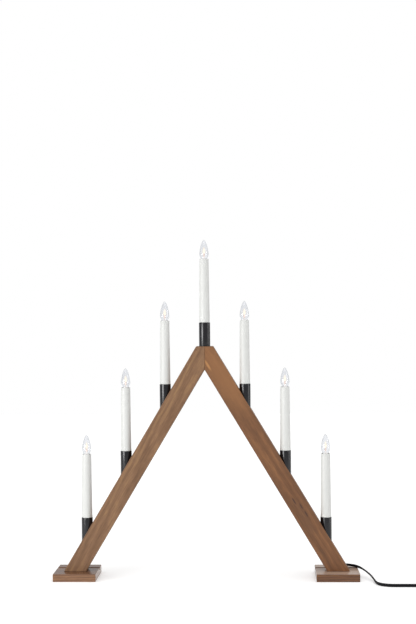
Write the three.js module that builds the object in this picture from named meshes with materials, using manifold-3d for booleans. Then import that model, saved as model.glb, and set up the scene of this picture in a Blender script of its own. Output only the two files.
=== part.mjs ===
// Advent candlestick: two mitred wooden legs on feet, seven electric candles and a flat twin lead.
// Millimetres, +Z up, -Y the front, origin on the table under the middle of the apex.
import * as THREE from 'three';
import * as BufferGeometryUtils from 'three/addons/utils/BufferGeometryUtils.js';
import { NURBSCurve } from 'three/addons/curves/NURBSCurve.js';
import Module from 'manifold-3d';

const wasm = await Module();
wasm.setup();

// Fits
const seatGap = 0.3;
const slideGap = 0.25;

// Feet
const footLength = 67;
const footDepth = 75;
const footHeight = 12;
const footInset = 1.6;
const footGrooveWidth = 6.5;
const footGrooveDepth = 3.5;

// Legs, joined at the apex
const legAngle = THREE.MathUtils.degToRad(59.1);
const legWidth = 30;
const legSetForward = 3.8;
const boreBackWood = 0.45;
const apexHeight = 364;
const apexFlat = 26.4;
const dowelDiameter = 6;
const dowelLength = 24;
const dowelAboveNotch = 6.3;

// Candle places
const candlesPerSide = 3;
const lowestRimHeight = 95.2;
const apexSeatDepth = 12.7;
const sideSeatDepth = 26.6;

// Black tube that holds one candle
const holderDiameter = 17.5;
const holderWall = 1.2;
const holderLength = 50;
const holderEdge = 0.4;

// Candle sleeve
const sleeveHeight = 99.8;
const sleeveWall = 1;
const collarInset = 0.35;
const collarStep = 0.2;
const collarHeight = 3;
const spigotLength = 20;
const spigotWall = 2.1;
const sleeveLedge = 1;
const sleeveLip = 0.5;

// Lampholder inside the top of the sleeve
const lampholderRecess = 2.6;
const lampholderWall = 0.85;
const lampholderFloor = 5.8;

// Flame-shaped bulb on an E10 screw cap
const bulbRise = 30.2;
const bulbDiameter = 15;
const bellyRise = 7.6;
const neckStep = 0.15;
const neckInset = 3.5;
const glassWall = 0.6;
const neckFlare = 1.09;
const neckPull = 0.57;
const bellyPull = 0.34;
const tipRoundness = 0.47;
const capDiameter = 9.5;
const capThreadDepth = 0.5;
const capThreadPitch = 1.814;
const capThreadTurns = 4;
const capCollar = 1.6;
const insulatorHeight = 2.8;
const contactDiameter = 4.4;
const contactHeight = 1;
const stemDiameter = 3.6;
const stemHeight = 8;
const filamentDiameter = 2.8;
const filamentHeight = 13;

// Wiring in the back of the legs
const coverWidth = 10;
const coverThickness = 1.8;
const wireRunWidth = 4.4;
const wireRunThickness = 1.1;
const wireDiameter = 2.4;
const wireHoleDiameter = 10;
const crossHoleDiameter = 5;
const coverToGrip = 9;

// Screw up through each foot
const screwBite = 20;
const screwDiameter = 4;
const screwHeadDiameter = 8;
const screwHeadHeight = 2.3;
const screwRecess = 0.5;
const screwInset = 5;

// Cord grip in the back of the right leg
const gripAboveFoot = 1.2;
const gripDiameter = 7.6;
const gripInsert = 7.5;
const gripFlangeDiameter = 9.6;
const gripFlange = 1.6;
const gripStandOff = 6.7;
const gripTailDiameter = 6.2;
const gripTail = 22;
const gripTailDrop = THREE.MathUtils.degToRad(4.1);
const gripTailBack = THREE.MathUtils.degToRad(2.9);

// Flat twin lead, its coil and its plug
const leadWidth = 5;
const leadThickness = 2.5;
const leadLean = THREE.MathUtils.degToRad(38);
const coilTurns = 8;
const coilLayers = 2;
const coilOuterRadius = 36.4;
const coilGap = 0.75;
const tieThickness = 0.8;
const tieWidth = 4;
const coilX = 374;
const coilFrontY = -71;
const tableGap = 0.05;
const plugLeadReach = 56;
const plugLength = 34;
const plugWidth = 35;
const plugNose = 11;
const plugNoseLength = 8.5;
const plugShoulder = 22.5;
const plugCorner = 1.5;
const plugThickness = 13.7;
const plugBevel = 1.2;
const pinDiameter = 4;
const pinLength = 19;
const pinSpacing = 19;

// Facets round a turned piece, and steps along and round the lead
const roundSides = 18;
const smallSides = 12;
const filamentSides = 8;
const wireSides = 6;
const leadSteps = 32;
const plugLeadSteps = 6;
const leadSides = 8;
const coilStepsPerTurn = 24;
const coilSides = 6;

const slope = Math.tan(legAngle);
const acrossSlope = 1 / Math.cos(legAngle);
const crownHeight = apexHeight + apexFlat / 2 * slope;
const notchHeight = crownHeight - legWidth * acrossSlope;
const coverDepth = coverThickness + seatGap;
const wireGrooveDepth = coverDepth + wireRunThickness + seatGap;
const legDepth = holderDiameter + 2 * (seatGap + boreBackWood + wireGrooveDepth);
const legBase = footHeight + seatGap;
const legCentreY = -legSetForward;
const legBackY = legCentreY + legDepth / 2;
const outerX = (height) => (crownHeight - height) / slope;
const legFootX = outerX(footHeight) - legWidth / Math.sin(legAngle) / 2;
const footX = legFootX - footInset;
const grooveCrown = (notchHeight + apexHeight) / 2;
const lowestX = (crownHeight - sideSeatDepth + holderLength - lowestRimHeight) / slope;
const candlePitch = lowestX / candlesPerSide;
const screwLength = footHeight - screwRecess + screwBite;
const gripZ = footHeight + gripFlangeDiameter / 2 + gripAboveFoot;
const gripX = (grooveCrown - gripZ) / slope;
const holderBore = holderDiameter / 2 - holderWall;
const spigot = holderBore - slideGap;
const collar = holderDiameter / 2 - collarInset;
const socket = capDiameter / 2 + seatGap;
const lampholderBody = socket + lampholderWall;
const sleeveBore = lampholderBody + seatGap;
const sleeveTopRadius = sleeveBore + sleeveWall;
const lampholderTop = sleeveHeight - lampholderRecess;
const neckBase = sleeveHeight - neckInset;
const capTop = neckBase - seatGap;
const threadLength = capThreadPitch * capThreadTurns;
const capBase = capTop - capCollar - threadLength - insulatorHeight - contactHeight;
const lampholderBase = capBase - seatGap - lampholderFloor;

const woodBrown = { color: 0x8b6a50, roughness: 0.55, metalness: 0 };
const darkWood = { color: 0x7a5940, roughness: 0.6, metalness: 0 };
const satinBlack = { color: 0x1f1e22, roughness: 0.35, metalness: 0.3 };
const whitePlastic = { color: 0xe9eae7, roughness: 0.4, metalness: 0 };
const blackPlastic = { color: 0x1b1b1c, roughness: 0.5, metalness: 0 };
const clearGlass = { color: 0xf4f6f8, roughness: 0.05, metalness: 0, transparent: true, opacity: 0.35 };
const warmGlow = { color: 0xfff0d2, roughness: 0.4, metalness: 0 };
const brass = { color: 0xc9a45c, roughness: 0.3, metalness: 1 };
const steel = { color: 0xb9bbbd, roughness: 0.35, metalness: 1 };
const beech = { color: 0xcdab7e, roughness: 0.7, metalness: 0 };

const candlestick = new THREE.Group();

function addPiece(name, geometry, look, x = 0, y = 0, z = 0) {
  const mesh = new THREE.Mesh(geometry, new THREE.MeshStandardMaterial(look));
  mesh.name = name;
  mesh.position.set(x, y, z);
  candlestick.add(mesh);
}

// Radius of a polygon whose flats, not its corners, lie at the given radius
function roundFlats(radius, sides) {
  return radius / Math.cos(Math.PI / sides);
}

// Turned piece about the Z axis, from radius and height pairs that run upwards on the outside
function turned(profile, sides) {
  const outline = profile.map(([radius, height]) => new THREE.Vector2(radius, height));
  return new THREE.LatheGeometry(outline, sides).rotateX(Math.PI / 2);
}

function roundBar(radius, from, to, sides) {
  const bar = new THREE.CylinderGeometry(radius, radius, to - from, sides);
  return bar.rotateX(Math.PI / 2).translate(0, 0, (from + to) / 2);
}

// Upright plate: an outline in X and Z, from its front face back to its rear face
function plate(corners, frontY, backY) {
  const shape = new THREE.Shape(corners.map(([x, z]) => new THREE.Vector2(x, z)));
  const slab = new THREE.ExtrudeGeometry(shape, { depth: backY - frontY, bevelEnabled: false });
  return slab.rotateX(Math.PI / 2).translate(0, backY, 0);
}

function toSolid(geometry) {
  const bare = geometry.clone();
  bare.deleteAttribute('normal');
  bare.deleteAttribute('uv');
  const merged = BufferGeometryUtils.mergeVertices(bare, 1e-4);
  const corners = [];
  for (let i = 0; i < merged.index.count; i += 3) {
    const [a, b, c] = [0, 1, 2].map((k) => merged.index.getX(i + k));
    if (a !== b && b !== c && c !== a) corners.push(a, b, c);
  }
  const vertProperties = new Float32Array(merged.attributes.position.array);
  const triVerts = new Uint32Array(corners);
  return new wasm.Manifold(new wasm.Mesh({ numProp: 3, vertProperties, triVerts }));
}

function toGeometry(solid) {
  const mesh = solid.getMesh();
  const geometry = new THREE.BufferGeometry();
  geometry.setAttribute('position', new THREE.BufferAttribute(mesh.vertProperties, 3));
  geometry.setIndex(new THREE.BufferAttribute(mesh.triVerts, 1));
  geometry.computeVertexNormals();
  return geometry;
}

function cutAway(body, cutters) {
  let solid = toSolid(body);
  for (const cutter of cutters) solid = solid.subtract(toSolid(cutter));
  return toGeometry(solid);
}

// Place of each candle: across, height of its holder's rim, and where its wires cross to the groove
function candlePlaces() {
  const places = [];
  for (let n = -candlesPerSide; n <= candlesPerSide; n += 1) {
    const x = n * candlePitch;
    const surface = crownHeight - Math.abs(x) * slope;
    const seat = n === 0 ? apexHeight - apexSeatDepth : surface - sideSeatDepth;
    const grooveZ = grooveCrown - Math.abs(x) * slope;
    const crossing = Math.min(grooveZ, seat - seatGap - crossHoleDiameter / 2);
    places.push({ x, rim: seat + holderLength, crossing, number: n + candlesPerSide + 1 });
  }
  return places;
}

// Bore for the holder, with a narrower hole for the wires below it and a hole back to the groove
function candleBores(place) {
  const seat = place.rim - holderLength - seatGap;
  const bore = roundFlats(holderDiameter / 2 + seatGap, roundSides);
  const shaft = roundBar(bore, seat, place.rim + seatGap, roundSides);
  const wireRoom = crossHoleDiameter / 2;
  const wireHole = roundBar(wireHoleDiameter / 2, place.crossing - wireRoom, seat + 1, smallSides);
  const across = roundBar(wireRoom, -wireRoom, legDepth / 2 + 1, smallSides).rotateX(-Math.PI / 2);
  return [
    shaft.translate(place.x, legCentreY, 0),
    wireHole.translate(place.x, legCentreY, 0),
    across.translate(place.x, legCentreY, place.crossing),
  ];
}

// Band along the leg's back, between two distances either side of the groove line
function grooveBand(side, width, lowZ, frontY, backY, innerX) {
  const half = width / 2 * acrossSlope;
  const lowX = (grooveCrown - lowZ) / slope;
  const dropX = width / 2 * Math.sin(legAngle);
  const dropZ = width / 2 * Math.cos(legAngle);
  const start = grooveCrown - innerX * slope;
  const corners = [
    [side * innerX, start - half],
    [side * (lowX - dropX), lowZ - dropZ],
    [side * (lowX + dropX), lowZ + dropZ],
    [side * innerX, start + half],
  ];
  return plate(corners, frontY, backY);
}

const coverLow = gripZ + coverToGrip * Math.sin(legAngle);

function legCutters(side, places) {
  const cutters = places.filter((place) => place.x * side >= 0).flatMap(candleBores);
  const beyond = legBackY + 1;
  const wireLow = side > 0 ? gripZ : Math.min(...places.map((place) => place.crossing)) - wireRunWidth;
  const rebate = coverWidth + 2 * seatGap;
  const channel = wireRunWidth + 2 * seatGap;
  cutters.push(grooveBand(side, rebate, coverLow - seatGap, legBackY - coverDepth, beyond, 0));
  cutters.push(grooveBand(side, channel, wireLow, legBackY - wireGrooveDepth, beyond, 0));
  const dowelHole = roundFlats(dowelDiameter / 2 + seatGap, smallSides);
  const dowelReach = dowelLength / 2 + seatGap;
  const dowel = roundBar(dowelHole, -dowelReach, dowelReach, smallSides).rotateY(Math.PI / 2);
  cutters.push(dowel.translate(0, legCentreY, notchHeight + dowelAboveNotch));
  cutters.push(screwHole(side));
  if (side > 0) {
    const gripHole = roundFlats(gripDiameter / 2 + seatGap, smallSides);
    const hole = roundBar(gripHole, -gripInsert - seatGap, 1, smallSides).rotateX(-Math.PI / 2);
    cutters.push(hole.translate(gripX, legBackY, gripZ));
  }
  return cutters;
}

function leg(side, places) {
  const mitre = seatGap / 2;
  const corners = [
    [side * mitre, notchHeight - mitre * slope],
    [side * (outerX(legBase) - legWidth / Math.sin(legAngle)), legBase],
    [side * outerX(legBase), legBase],
    [side * apexFlat / 2, apexHeight],
    [side * mitre, apexHeight],
  ];
  const beam = plate(corners, legCentreY - legDepth / 2, legBackY);
  return cutAway(beam, legCutters(side, places));
}

function foot(side) {
  const block = new THREE.BoxGeometry(footLength, footDepth, footHeight);
  block.translate(side * footX, 0, footHeight / 2);
  const groove = new THREE.BoxGeometry(footLength + 2, footGrooveWidth, 2 * footGrooveDepth);
  groove.translate(side * footX, legBackY + seatGap + footGrooveWidth / 2, footHeight);
  return cutAway(block, [groove, screwHole(side)]);
}

const screwX = (side) => side * (legFootX - screwInset);

function footScrew() {
  const shank = screwDiameter / 2;
  const point = screwRecess + screwLength;
  const profile = [
    [0, screwRecess],
    [screwHeadDiameter / 2, screwRecess],
    [shank, screwRecess + screwHeadHeight],
    [shank, point - screwDiameter],
    [0, point],
  ];
  return turned(profile, smallSides);
}

function screwHole(side) {
  const shank = roundFlats(screwDiameter / 2 + seatGap, smallSides);
  const head = roundFlats(screwHeadDiameter / 2 + seatGap, smallSides);
  const profile = [
    [0, -1],
    [head, -1],
    [head, screwRecess],
    [shank, screwRecess + screwHeadHeight],
    [shank, screwRecess + screwLength + seatGap],
    [0, screwRecess + screwLength + seatGap],
  ];
  return turned(profile, smallSides).translate(screwX(side), legCentreY, 0);
}

function holder() {
  const outer = holderDiameter / 2;
  const profile = [
    [holderBore, -holderLength],
    [outer, -holderLength],
    [outer, -holderEdge],
    [outer - holderEdge, 0],
    [holderBore, 0],
    [holderBore, -holderLength],
  ];
  return turned(profile, roundSides);
}

function sleeve() {
  const wireBore = Math.min(spigot - spigotWall, sleeveBore - sleeveLedge);
  const ledge = lampholderBase - seatGap;
  const profile = [
    [wireBore, -spigotLength],
    [spigot, -spigotLength],
    [spigot, seatGap],
    [collar, seatGap],
    [collar, collarHeight],
    [collar - collarStep, collarHeight],
    [sleeveTopRadius, sleeveHeight - sleeveLip],
    [sleeveTopRadius - sleeveLip, sleeveHeight],
    [sleeveBore, sleeveHeight],
    [sleeveBore, ledge],
    [wireBore, ledge],
    [wireBore, -spigotLength],
  ];
  return turned(profile, roundSides);
}

function lampholder() {
  const socketCorner = roundFlats(socket, smallSides);
  const profile = [
    [0, lampholderBase],
    [lampholderBody, lampholderBase],
    [lampholderBody, lampholderTop],
    [socketCorner, lampholderTop],
    [socketCorner, capBase - seatGap],
    [0, capBase - seatGap],
  ];
  return turned(profile, smallSides);
}

function bulbCap() {
  const crest = capDiameter / 2;
  const contactTop = capBase + contactHeight;
  const threadBase = contactTop + insulatorHeight;
  const profile = [[0, capBase], [contactDiameter / 2, capBase], [contactDiameter / 2, contactTop]];
  profile.push([crest - capThreadDepth, threadBase]);
  for (let turn = 0; turn < capThreadTurns; turn += 1) {
    profile.push([crest, threadBase + (turn + 0.5) * capThreadPitch]);
    profile.push([crest - capThreadDepth, threadBase + (turn + 1) * capThreadPitch]);
  }
  profile.push([crest, capTop - capCollar / 2], [crest, capTop], [0, capTop]);
  return turned(profile, smallSides);
}

// Outside of the glass from neck to tip, or its inside when a wall is taken off
function glassOutline(wall, neckSteps, domeSteps) {
  const tip = sleeveHeight + bulbRise - wall;
  const belly = sleeveHeight + bellyRise;
  const wide = bulbDiameter / 2 - wall;
  const narrow = capDiameter / 2 - neckStep - wall;
  const drop = belly - neckBase;
  const neck = new THREE.CubicBezierCurve(
    new THREE.Vector2(narrow, neckBase),
    new THREE.Vector2(narrow * neckFlare, belly - drop * neckPull),
    new THREE.Vector2(wide, belly - drop * bellyPull),
    new THREE.Vector2(wide, belly),
  );
  const dome = new THREE.CubicBezierCurve(
    new THREE.Vector2(wide, belly),
    new THREE.Vector2(wide, belly + (tip - belly) * bellyPull),
    new THREE.Vector2(wide * tipRoundness, tip),
    new THREE.Vector2(0, tip),
  );
  const points = neck.getPoints(neckSteps).concat(dome.getPoints(domeSteps).slice(1));
  return points.map((point) => [point.x, point.y]);
}

function bulbGlass() {
  const outside = glassOutline(0, 4, 5);
  const inside = glassOutline(glassWall, 2, 4).reverse();
  return turned([...inside, ...outside], roundSides);
}

function bulbFilament() {
  const stem = stemDiameter / 2;
  const wick = filamentDiameter / 2;
  const top = neckBase + stemHeight;
  const profile = [
    [0, neckBase],
    [stem, neckBase],
    [stem, top - stem],
    [stem / 3, top],
    [wick, top + filamentHeight / 3],
    [wick / 2, top + filamentHeight * 2 / 3],
    [0, top + filamentHeight],
  ];
  return turned(profile, filamentSides);
}

function addCandle(place) {
  const at = [place.x, legCentreY, place.rim];
  addPiece(`holder_${place.number}`, holder(), satinBlack, ...at);
  addPiece(`candle_sleeve_${place.number}`, sleeve(), whitePlastic, ...at);
  addPiece(`lampholder_${place.number}`, lampholder(), blackPlastic, ...at);
  addPiece(`bulb_cap_${place.number}`, bulbCap(), brass, ...at);
  addPiece(`bulb_glass_${place.number}`, bulbGlass(), clearGlass, ...at);
  addPiece(`bulb_filament_${place.number}`, bulbFilament(), warmGlow, ...at);
}

// Flat wires in the groove, with a pair forward and up to each lampholder
function wiring(places) {
  const front = legBackY - wireGrooveDepth + seatGap;
  const back = front + wireRunThickness;
  const last = places[0];
  const gripClear = (gripDiameter / 2 + wireRunWidth / 2 + seatGap) * Math.sin(legAngle);
  const runs = [
    grooveBand(-1, wireRunWidth, last.crossing, front, back, 0),
    grooveBand(1, wireRunWidth, gripZ + gripClear, front, back, 0),
  ];
  const radius = wireDiameter / 2;
  for (const place of places) {
    const across = roundBar(radius, -radius, back - legCentreY - seatGap, wireSides).rotateX(-Math.PI / 2);
    runs.push(across.translate(place.x, legCentreY, place.crossing));
    const riser = roundBar(radius, place.crossing, place.rim + lampholderBase - seatGap, wireSides);
    runs.push(riser.translate(place.x, legCentreY, 0));
  }
  let solid = toSolid(runs[0]);
  for (const run of runs.slice(1)) solid = solid.add(toSolid(run));
  return toGeometry(solid);
}

const gripElbow = new THREE.Vector3(gripX, legBackY + gripStandOff, gripZ);

// Right-angle strain relief: an insert straight back out of the leg, then a tapered tail to the side
function cordGrip() {
  const body = gripDiameter / 2;
  const flange = seatGap + gripFlange;
  const insert = turned([
    [0, -gripInsert],
    [body, -gripInsert],
    [body, seatGap],
    [gripFlangeDiameter / 2, seatGap],
    [gripFlangeDiameter / 2, flange],
    [body, flange],
    [body, gripStandOff],
    [0, gripStandOff],
  ], smallSides).rotateX(-Math.PI / 2).translate(gripX, legBackY, gripZ);
  const elbow = new THREE.SphereGeometry(body, smallSides, smallSides / 2).translate(...gripElbow);
  const tail = turned([[0, 0], [body, 0], [gripTailDiameter / 2, gripTail], [0, gripTail]], smallSides);
  tail.rotateY(Math.PI / 2 + gripTailDrop).rotateZ(gripTailBack).translate(...gripElbow);
  return toGeometry(toSolid(insert).add(toSolid(elbow)).add(toSolid(tail)));
}

// Route of a flat lead, with the lean of its flat side from level: a right angle stands it on edge
class FlatRoute extends THREE.Curve {
  constructor(place, lean) {
    super();
    this.place = place;
    this.lean = lean;
    this.arcLengthDivisions = 2400;
  }

  getPoint(t, target = new THREE.Vector3()) {
    return target.copy(this.place(t));
  }

  computeFrenetFrames(steps) {
    const frames = { tangents: [], normals: [], binormals: [] };
    for (let i = 0; i <= steps; i += 1) {
      const along = this.getTangentAt(i / steps);
      const across = new THREE.Vector3(0, 0, 1).cross(along).normalize();
      across.applyAxisAngle(along, -this.lean(i / steps));
      frames.tangents.push(along);
      frames.normals.push(across);
      frames.binormals.push(new THREE.Vector3().crossVectors(along, across));
    }
    return frames;
  }
}

// Section with flat sides and round ends
function flatSection(sides) {
  const end = leadThickness / 2;
  const reach = leadWidth / 2 - end;
  const points = [];
  for (let i = 0; i < sides; i += 1) {
    const angle = (i + 0.5) / sides * 2 * Math.PI - Math.PI / 2;
    const x = Math.sign(Math.cos(angle)) * reach + end * Math.cos(angle);
    points.push(new THREE.Vector2(x, roundFlats(end, sides) * Math.sin(angle)));
  }
  return new THREE.Shape(points);
}

function leadAlong(route, steps, sides) {
  return new THREE.ExtrudeGeometry(flatSection(sides), { steps, extrudePath: route, bevelEnabled: false });
}

// Cubic spline that starts and ends on the first and last point, along the lines to their neighbours
function routeAlong(points, lean) {
  const stops = points.map((point) => new THREE.Vector4(...point, 1));
  const spans = points.length - 3;
  const knots = Array.from({ length: points.length + 4 }, (_, i) => THREE.MathUtils.clamp(i - 3, 0, spans));
  const curve = new NURBSCurve(3, knots, stops);
  return new FlatRoute((t) => curve.getPoint(t), lean);
}

// Route of the lead from the grip over the end of the foot and forward to the coil, chosen by hand
const onEdge = Math.PI / 2;
const tableZ = leadWidth / 2 + tableGap;
const coilBaseZ = tieThickness + 2 * seatGap + leadWidth / 2;
const tailRun = new THREE.Vector3(gripTail + seatGap, 0, 0)
  .applyAxisAngle(new THREE.Vector3(0, 1, 0), gripTailDrop)
  .applyAxisAngle(new THREE.Vector3(0, 0, 1), gripTailBack);
const leadStart = gripElbow.clone().add(tailRun);
const leadPoints = [
  leadStart.toArray(),
  [223.0, 17.2, 16.1],
  [227.8, 16.4, 15.6],
  [232.4, 14.5, 15.1],
  [236.5, 11.7, 14.7],
  [240.0, 8.1, 14.2],
  [243.5, 3.1, 13.4],
  [247.6, -4.0, 11.8],
  [252.4, -12.6, 9.4],
  [256.4, -22.3, 6.9],
  [259.2, -33.0, 4.3],
  [260.9, -44.5, 2.7],
  [262.0, -53.2, tableZ],
  [264.4, -59.1, tableZ],
  [268.2, -64.0, tableZ],
  [273.1, -67.8, tableZ],
  [278.8, -70.2, tableZ],
  [285.0, coilFrontY, tableZ],
  [293.0, coilFrontY, tableZ],
  [302.0, coilFrontY, tableZ],
  [315.0, coilFrontY, tableZ],
  [330.0, coilFrontY, tableZ],
  [346.0, coilFrontY, 3.0],
  [coilX - 2 * leadWidth, coilFrontY, coilBaseZ],
  [coilX - leadWidth - seatGap, coilFrontY, coilBaseZ],
];

// Coil: the turns run in and out again, and climb one layer in the half turn where they reverse
const turnPitch = leadThickness + coilGap;
const layerPitch = leadWidth + coilGap;
const turnsPerLayer = coilTurns / coilLayers;
const coilY = coilFrontY + coilOuterRadius;

function coilPoint(turns) {
  const layer = Math.floor(turns / turnsPerLayer);
  const inLayer = turns - layer * turnsPerLayer;
  const inward = layer % 2 === 0 ? inLayer : turnsPerLayer - inLayer;
  const radius = coilOuterRadius - turnPitch * inward;
  let climb = 0;
  for (let k = 1; k < coilLayers; k += 1) {
    const share = THREE.MathUtils.clamp((turns - k * turnsPerLayer) * 2 + 0.5, 0, 1);
    climb += share;
  }
  const angle = turns * 2 * Math.PI - Math.PI / 2;
  const x = coilX + radius * Math.cos(angle);
  const y = coilY + radius * Math.sin(angle);
  return new THREE.Vector3(x, y, coilBaseZ + climb * layerPitch);
}

const coilRoute = new FlatRoute((t) => {
  const straight = leadWidth / (2 * Math.PI * coilOuterRadius);
  const turns = t * (coilTurns + 2 * straight) - straight;
  const held = THREE.MathUtils.clamp(turns, 0, coilTurns - 1e-6);
  const point = coilPoint(held);
  point.x += (turns - held) * 2 * Math.PI * coilOuterRadius;
  return point;
}, () => onEdge);

// Least distance between the outsides of stretches of the coil that lie beside or over each other
function leastCoilGap() {
  const rings = coilTurns * 72;
  const frames = coilRoute.computeFrenetFrames(rings);
  const section = flatSection(24).getPoints();
  const centres = coilRoute.getSpacedPoints(rings);
  const spots = centres.map((centre, i) => section.map((spot) => centre.clone()
    .addScaledVector(frames.normals[i], spot.x)
    .addScaledVector(frames.binormals[i], spot.y)));
  let least = Infinity;
  for (let i = 0; i < rings; i += 1) {
    for (let j = i + 24; j <= rings; j += 1) {
      if (centres[i].distanceTo(centres[j]) > 2 * leadWidth) continue;
      for (const a of spots[i]) {
        for (const b of spots[j]) least = Math.min(least, a.distanceTo(b));
      }
    }
  }
  return least;
}

// Short run from the top of the coil down to the plug
const plugZ = plugThickness / 2 + tableGap;
const coilTopZ = coilBaseZ + (coilLayers - 1) * layerPitch;
const plugBackX = coilX + plugLeadReach;
const plugLeadPoints = [
  [coilX + leadWidth + seatGap, coilFrontY, coilTopZ],
  [coilX + 2 * leadWidth, coilFrontY, coilTopZ],
  [coilX + 22, coilFrontY, 9.1],
  [coilX + 34, coilFrontY, 7.6],
  [coilX + 45, coilFrontY, plugZ],
  [plugBackX - seatGap, coilFrontY, plugZ],
];

const leadRoute = routeAlong(leadPoints, (t) => THREE.MathUtils.lerp(leadLean, onEdge, t));
const plugLeadRoute = routeAlong(plugLeadPoints, (t) => THREE.MathUtils.lerp(onEdge, 0, t));

function coilTie() {
  const inner = coilOuterRadius - turnPitch * turnsPerLayer - leadThickness / 2 - seatGap;
  const outer = coilOuterRadius + leadThickness / 2 + seatGap;
  const low = coilBaseZ - leadWidth / 2 - seatGap;
  const high = coilTopZ + leadWidth / 2 + seatGap;
  const band = new THREE.Shape();
  const wall = tieThickness;
  band.moveTo(inner - wall, low - wall);
  band.lineTo(outer + wall, low - wall);
  band.lineTo(outer + wall, high + wall);
  band.lineTo(inner - wall, high + wall);
  band.closePath();
  const hole = new THREE.Path();
  hole.moveTo(inner, low);
  hole.lineTo(inner, high);
  hole.lineTo(outer, high);
  hole.lineTo(outer, low);
  hole.closePath();
  band.holes.push(hole);
  const loop = new THREE.ExtrudeGeometry(band, { depth: tieWidth, bevelEnabled: false });
  return loop.translate(0, 0, -tieWidth / 2).rotateX(Math.PI / 2).rotateZ(Math.PI / 2);
}

// Flat two-pin plug lying on its side, its pins towards +X
function plugBody() {
  const half = plugWidth / 2 - plugBevel;
  const nose = plugNose / 2 - plugBevel;
  const front = plugLength - plugBevel;
  const waist = (plugNoseLength + plugShoulder) / 2;
  const shape = new THREE.Shape();
  shape.moveTo(plugBevel, -nose);
  shape.lineTo(plugNoseLength, -nose);
  shape.quadraticCurveTo(waist, -half, plugShoulder, -half);
  shape.lineTo(front, -half + plugCorner);
  shape.lineTo(front, half - plugCorner);
  shape.lineTo(plugShoulder, half);
  shape.quadraticCurveTo(waist, half, plugNoseLength, nose);
  shape.lineTo(plugBevel, nose);
  shape.closePath();
  const bevel = { bevelThickness: plugBevel, bevelSize: plugBevel, bevelSegments: 1 };
  const options = { depth: plugThickness - 2 * plugBevel, curveSegments: 4, ...bevel };
  return new THREE.ExtrudeGeometry(shape, options).translate(0, 0, plugBevel - plugThickness / 2);
}

function plugPin() {
  const radius = pinDiameter / 2;
  const shoulder = pinLength - radius;
  const profile = [[0, 0], [radius, 0], [radius, shoulder], [radius / 2, pinLength], [0, pinLength]];
  return turned(profile, smallSides).rotateY(Math.PI / 2);
}

function addFrame(places) {
  addPiece('left_leg', leg(-1, places), woodBrown);
  addPiece('right_leg', leg(1, places), woodBrown);
  addPiece('left_foot', foot(-1), darkWood);
  addPiece('right_foot', foot(1), darkWood);
  const dowel = roundBar(dowelDiameter / 2, -dowelLength / 2, dowelLength / 2, smallSides);
  addPiece('apex_dowel', dowel.rotateY(Math.PI / 2), beech, 0, legCentreY, notchHeight + dowelAboveNotch);
  addPiece('left_foot_screw', footScrew(), steel, screwX(-1), legCentreY);
  addPiece('right_foot_screw', footScrew(), steel, screwX(1), legCentreY);
  const cover = [coverWidth, coverLow, legBackY - coverThickness, legBackY, seatGap / 2];
  addPiece('left_wire_cover', grooveBand(-1, ...cover), darkWood);
  addPiece('right_wire_cover', grooveBand(1, ...cover), darkWood);
  addPiece('wiring', wiring(places), whitePlastic);
}

function addLead() {
  addPiece('cord_grip', cordGrip(), blackPlastic);
  addPiece('mains_cord', leadAlong(leadRoute, leadSteps, leadSides), blackPlastic);
  addPiece('cord_coil', leadAlong(coilRoute, coilTurns * coilStepsPerTurn + 2, coilSides), blackPlastic);
  addPiece('plug_lead', leadAlong(plugLeadRoute, plugLeadSteps, leadSides), blackPlastic);
  addPiece('cord_tie', coilTie(), blackPlastic, coilX, coilY);
  addPiece('plug_body', plugBody(), blackPlastic, plugBackX, coilFrontY, plugZ);
  const pinX = plugBackX + plugLength + seatGap;
  addPiece('plug_pin_left', plugPin(), steel, pinX, coilFrontY - pinSpacing / 2, plugZ);
  addPiece('plug_pin_right', plugPin(), steel, pinX, coilFrontY + pinSpacing / 2, plugZ);
}

const places = candlePlaces();
addFrame(places);
places.forEach(addCandle);
addLead();

const leadLength = [leadRoute, coilRoute, plugLeadRoute]
  .reduce((length, route) => length + route.getLength(), 0);
console.log(`least gap of the coil to itself ${leastCoilGap().toFixed(2)} mm`);
console.log(`whole lead ${leadLength.toFixed(0)} mm`);

export default candlestick;
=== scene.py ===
import math

import bmesh
import bpy
import numpy as np
from mathutils import Matrix, Vector


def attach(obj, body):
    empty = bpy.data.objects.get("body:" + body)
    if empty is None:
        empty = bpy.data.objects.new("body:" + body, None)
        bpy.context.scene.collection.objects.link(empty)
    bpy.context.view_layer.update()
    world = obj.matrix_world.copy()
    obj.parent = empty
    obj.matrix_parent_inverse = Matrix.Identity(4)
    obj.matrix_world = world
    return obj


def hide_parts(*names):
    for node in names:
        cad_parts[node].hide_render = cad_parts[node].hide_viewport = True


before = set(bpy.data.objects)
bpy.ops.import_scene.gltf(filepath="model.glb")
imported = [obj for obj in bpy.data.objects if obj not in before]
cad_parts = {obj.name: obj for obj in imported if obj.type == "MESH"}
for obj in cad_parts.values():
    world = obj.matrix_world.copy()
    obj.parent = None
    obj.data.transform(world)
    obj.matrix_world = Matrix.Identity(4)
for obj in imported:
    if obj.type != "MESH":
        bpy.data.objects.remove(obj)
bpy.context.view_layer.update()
print("frame loaded")

mm = 0.001
scene = bpy.context.scene
scene.view_settings.view_transform = "Standard"


# sRGB hex to linear
def linear(hexColour):
    channels = [int(hexColour[i:i + 2], 16) / 255 for i in (1, 3, 5)]
    return [c / 12.92 if c <= 0.04045 else ((c + 0.055) / 1.055) ** 2.4 for c in channels] + [1.0]


# Adds a node with its settings; an input that is a socket is linked, anything else is its value
def addNode(tree, kind, inputs=None, **settings):
    node = tree.nodes.new(kind)
    for key, value in settings.items():
        setattr(node, key, value)
    for key, value in (inputs or {}).items():
        socket = node.inputs[key]
        if isinstance(value, bpy.types.NodeSocket):
            tree.links.new(value, socket)
        else:
            socket.default_value = value
    return node


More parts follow.
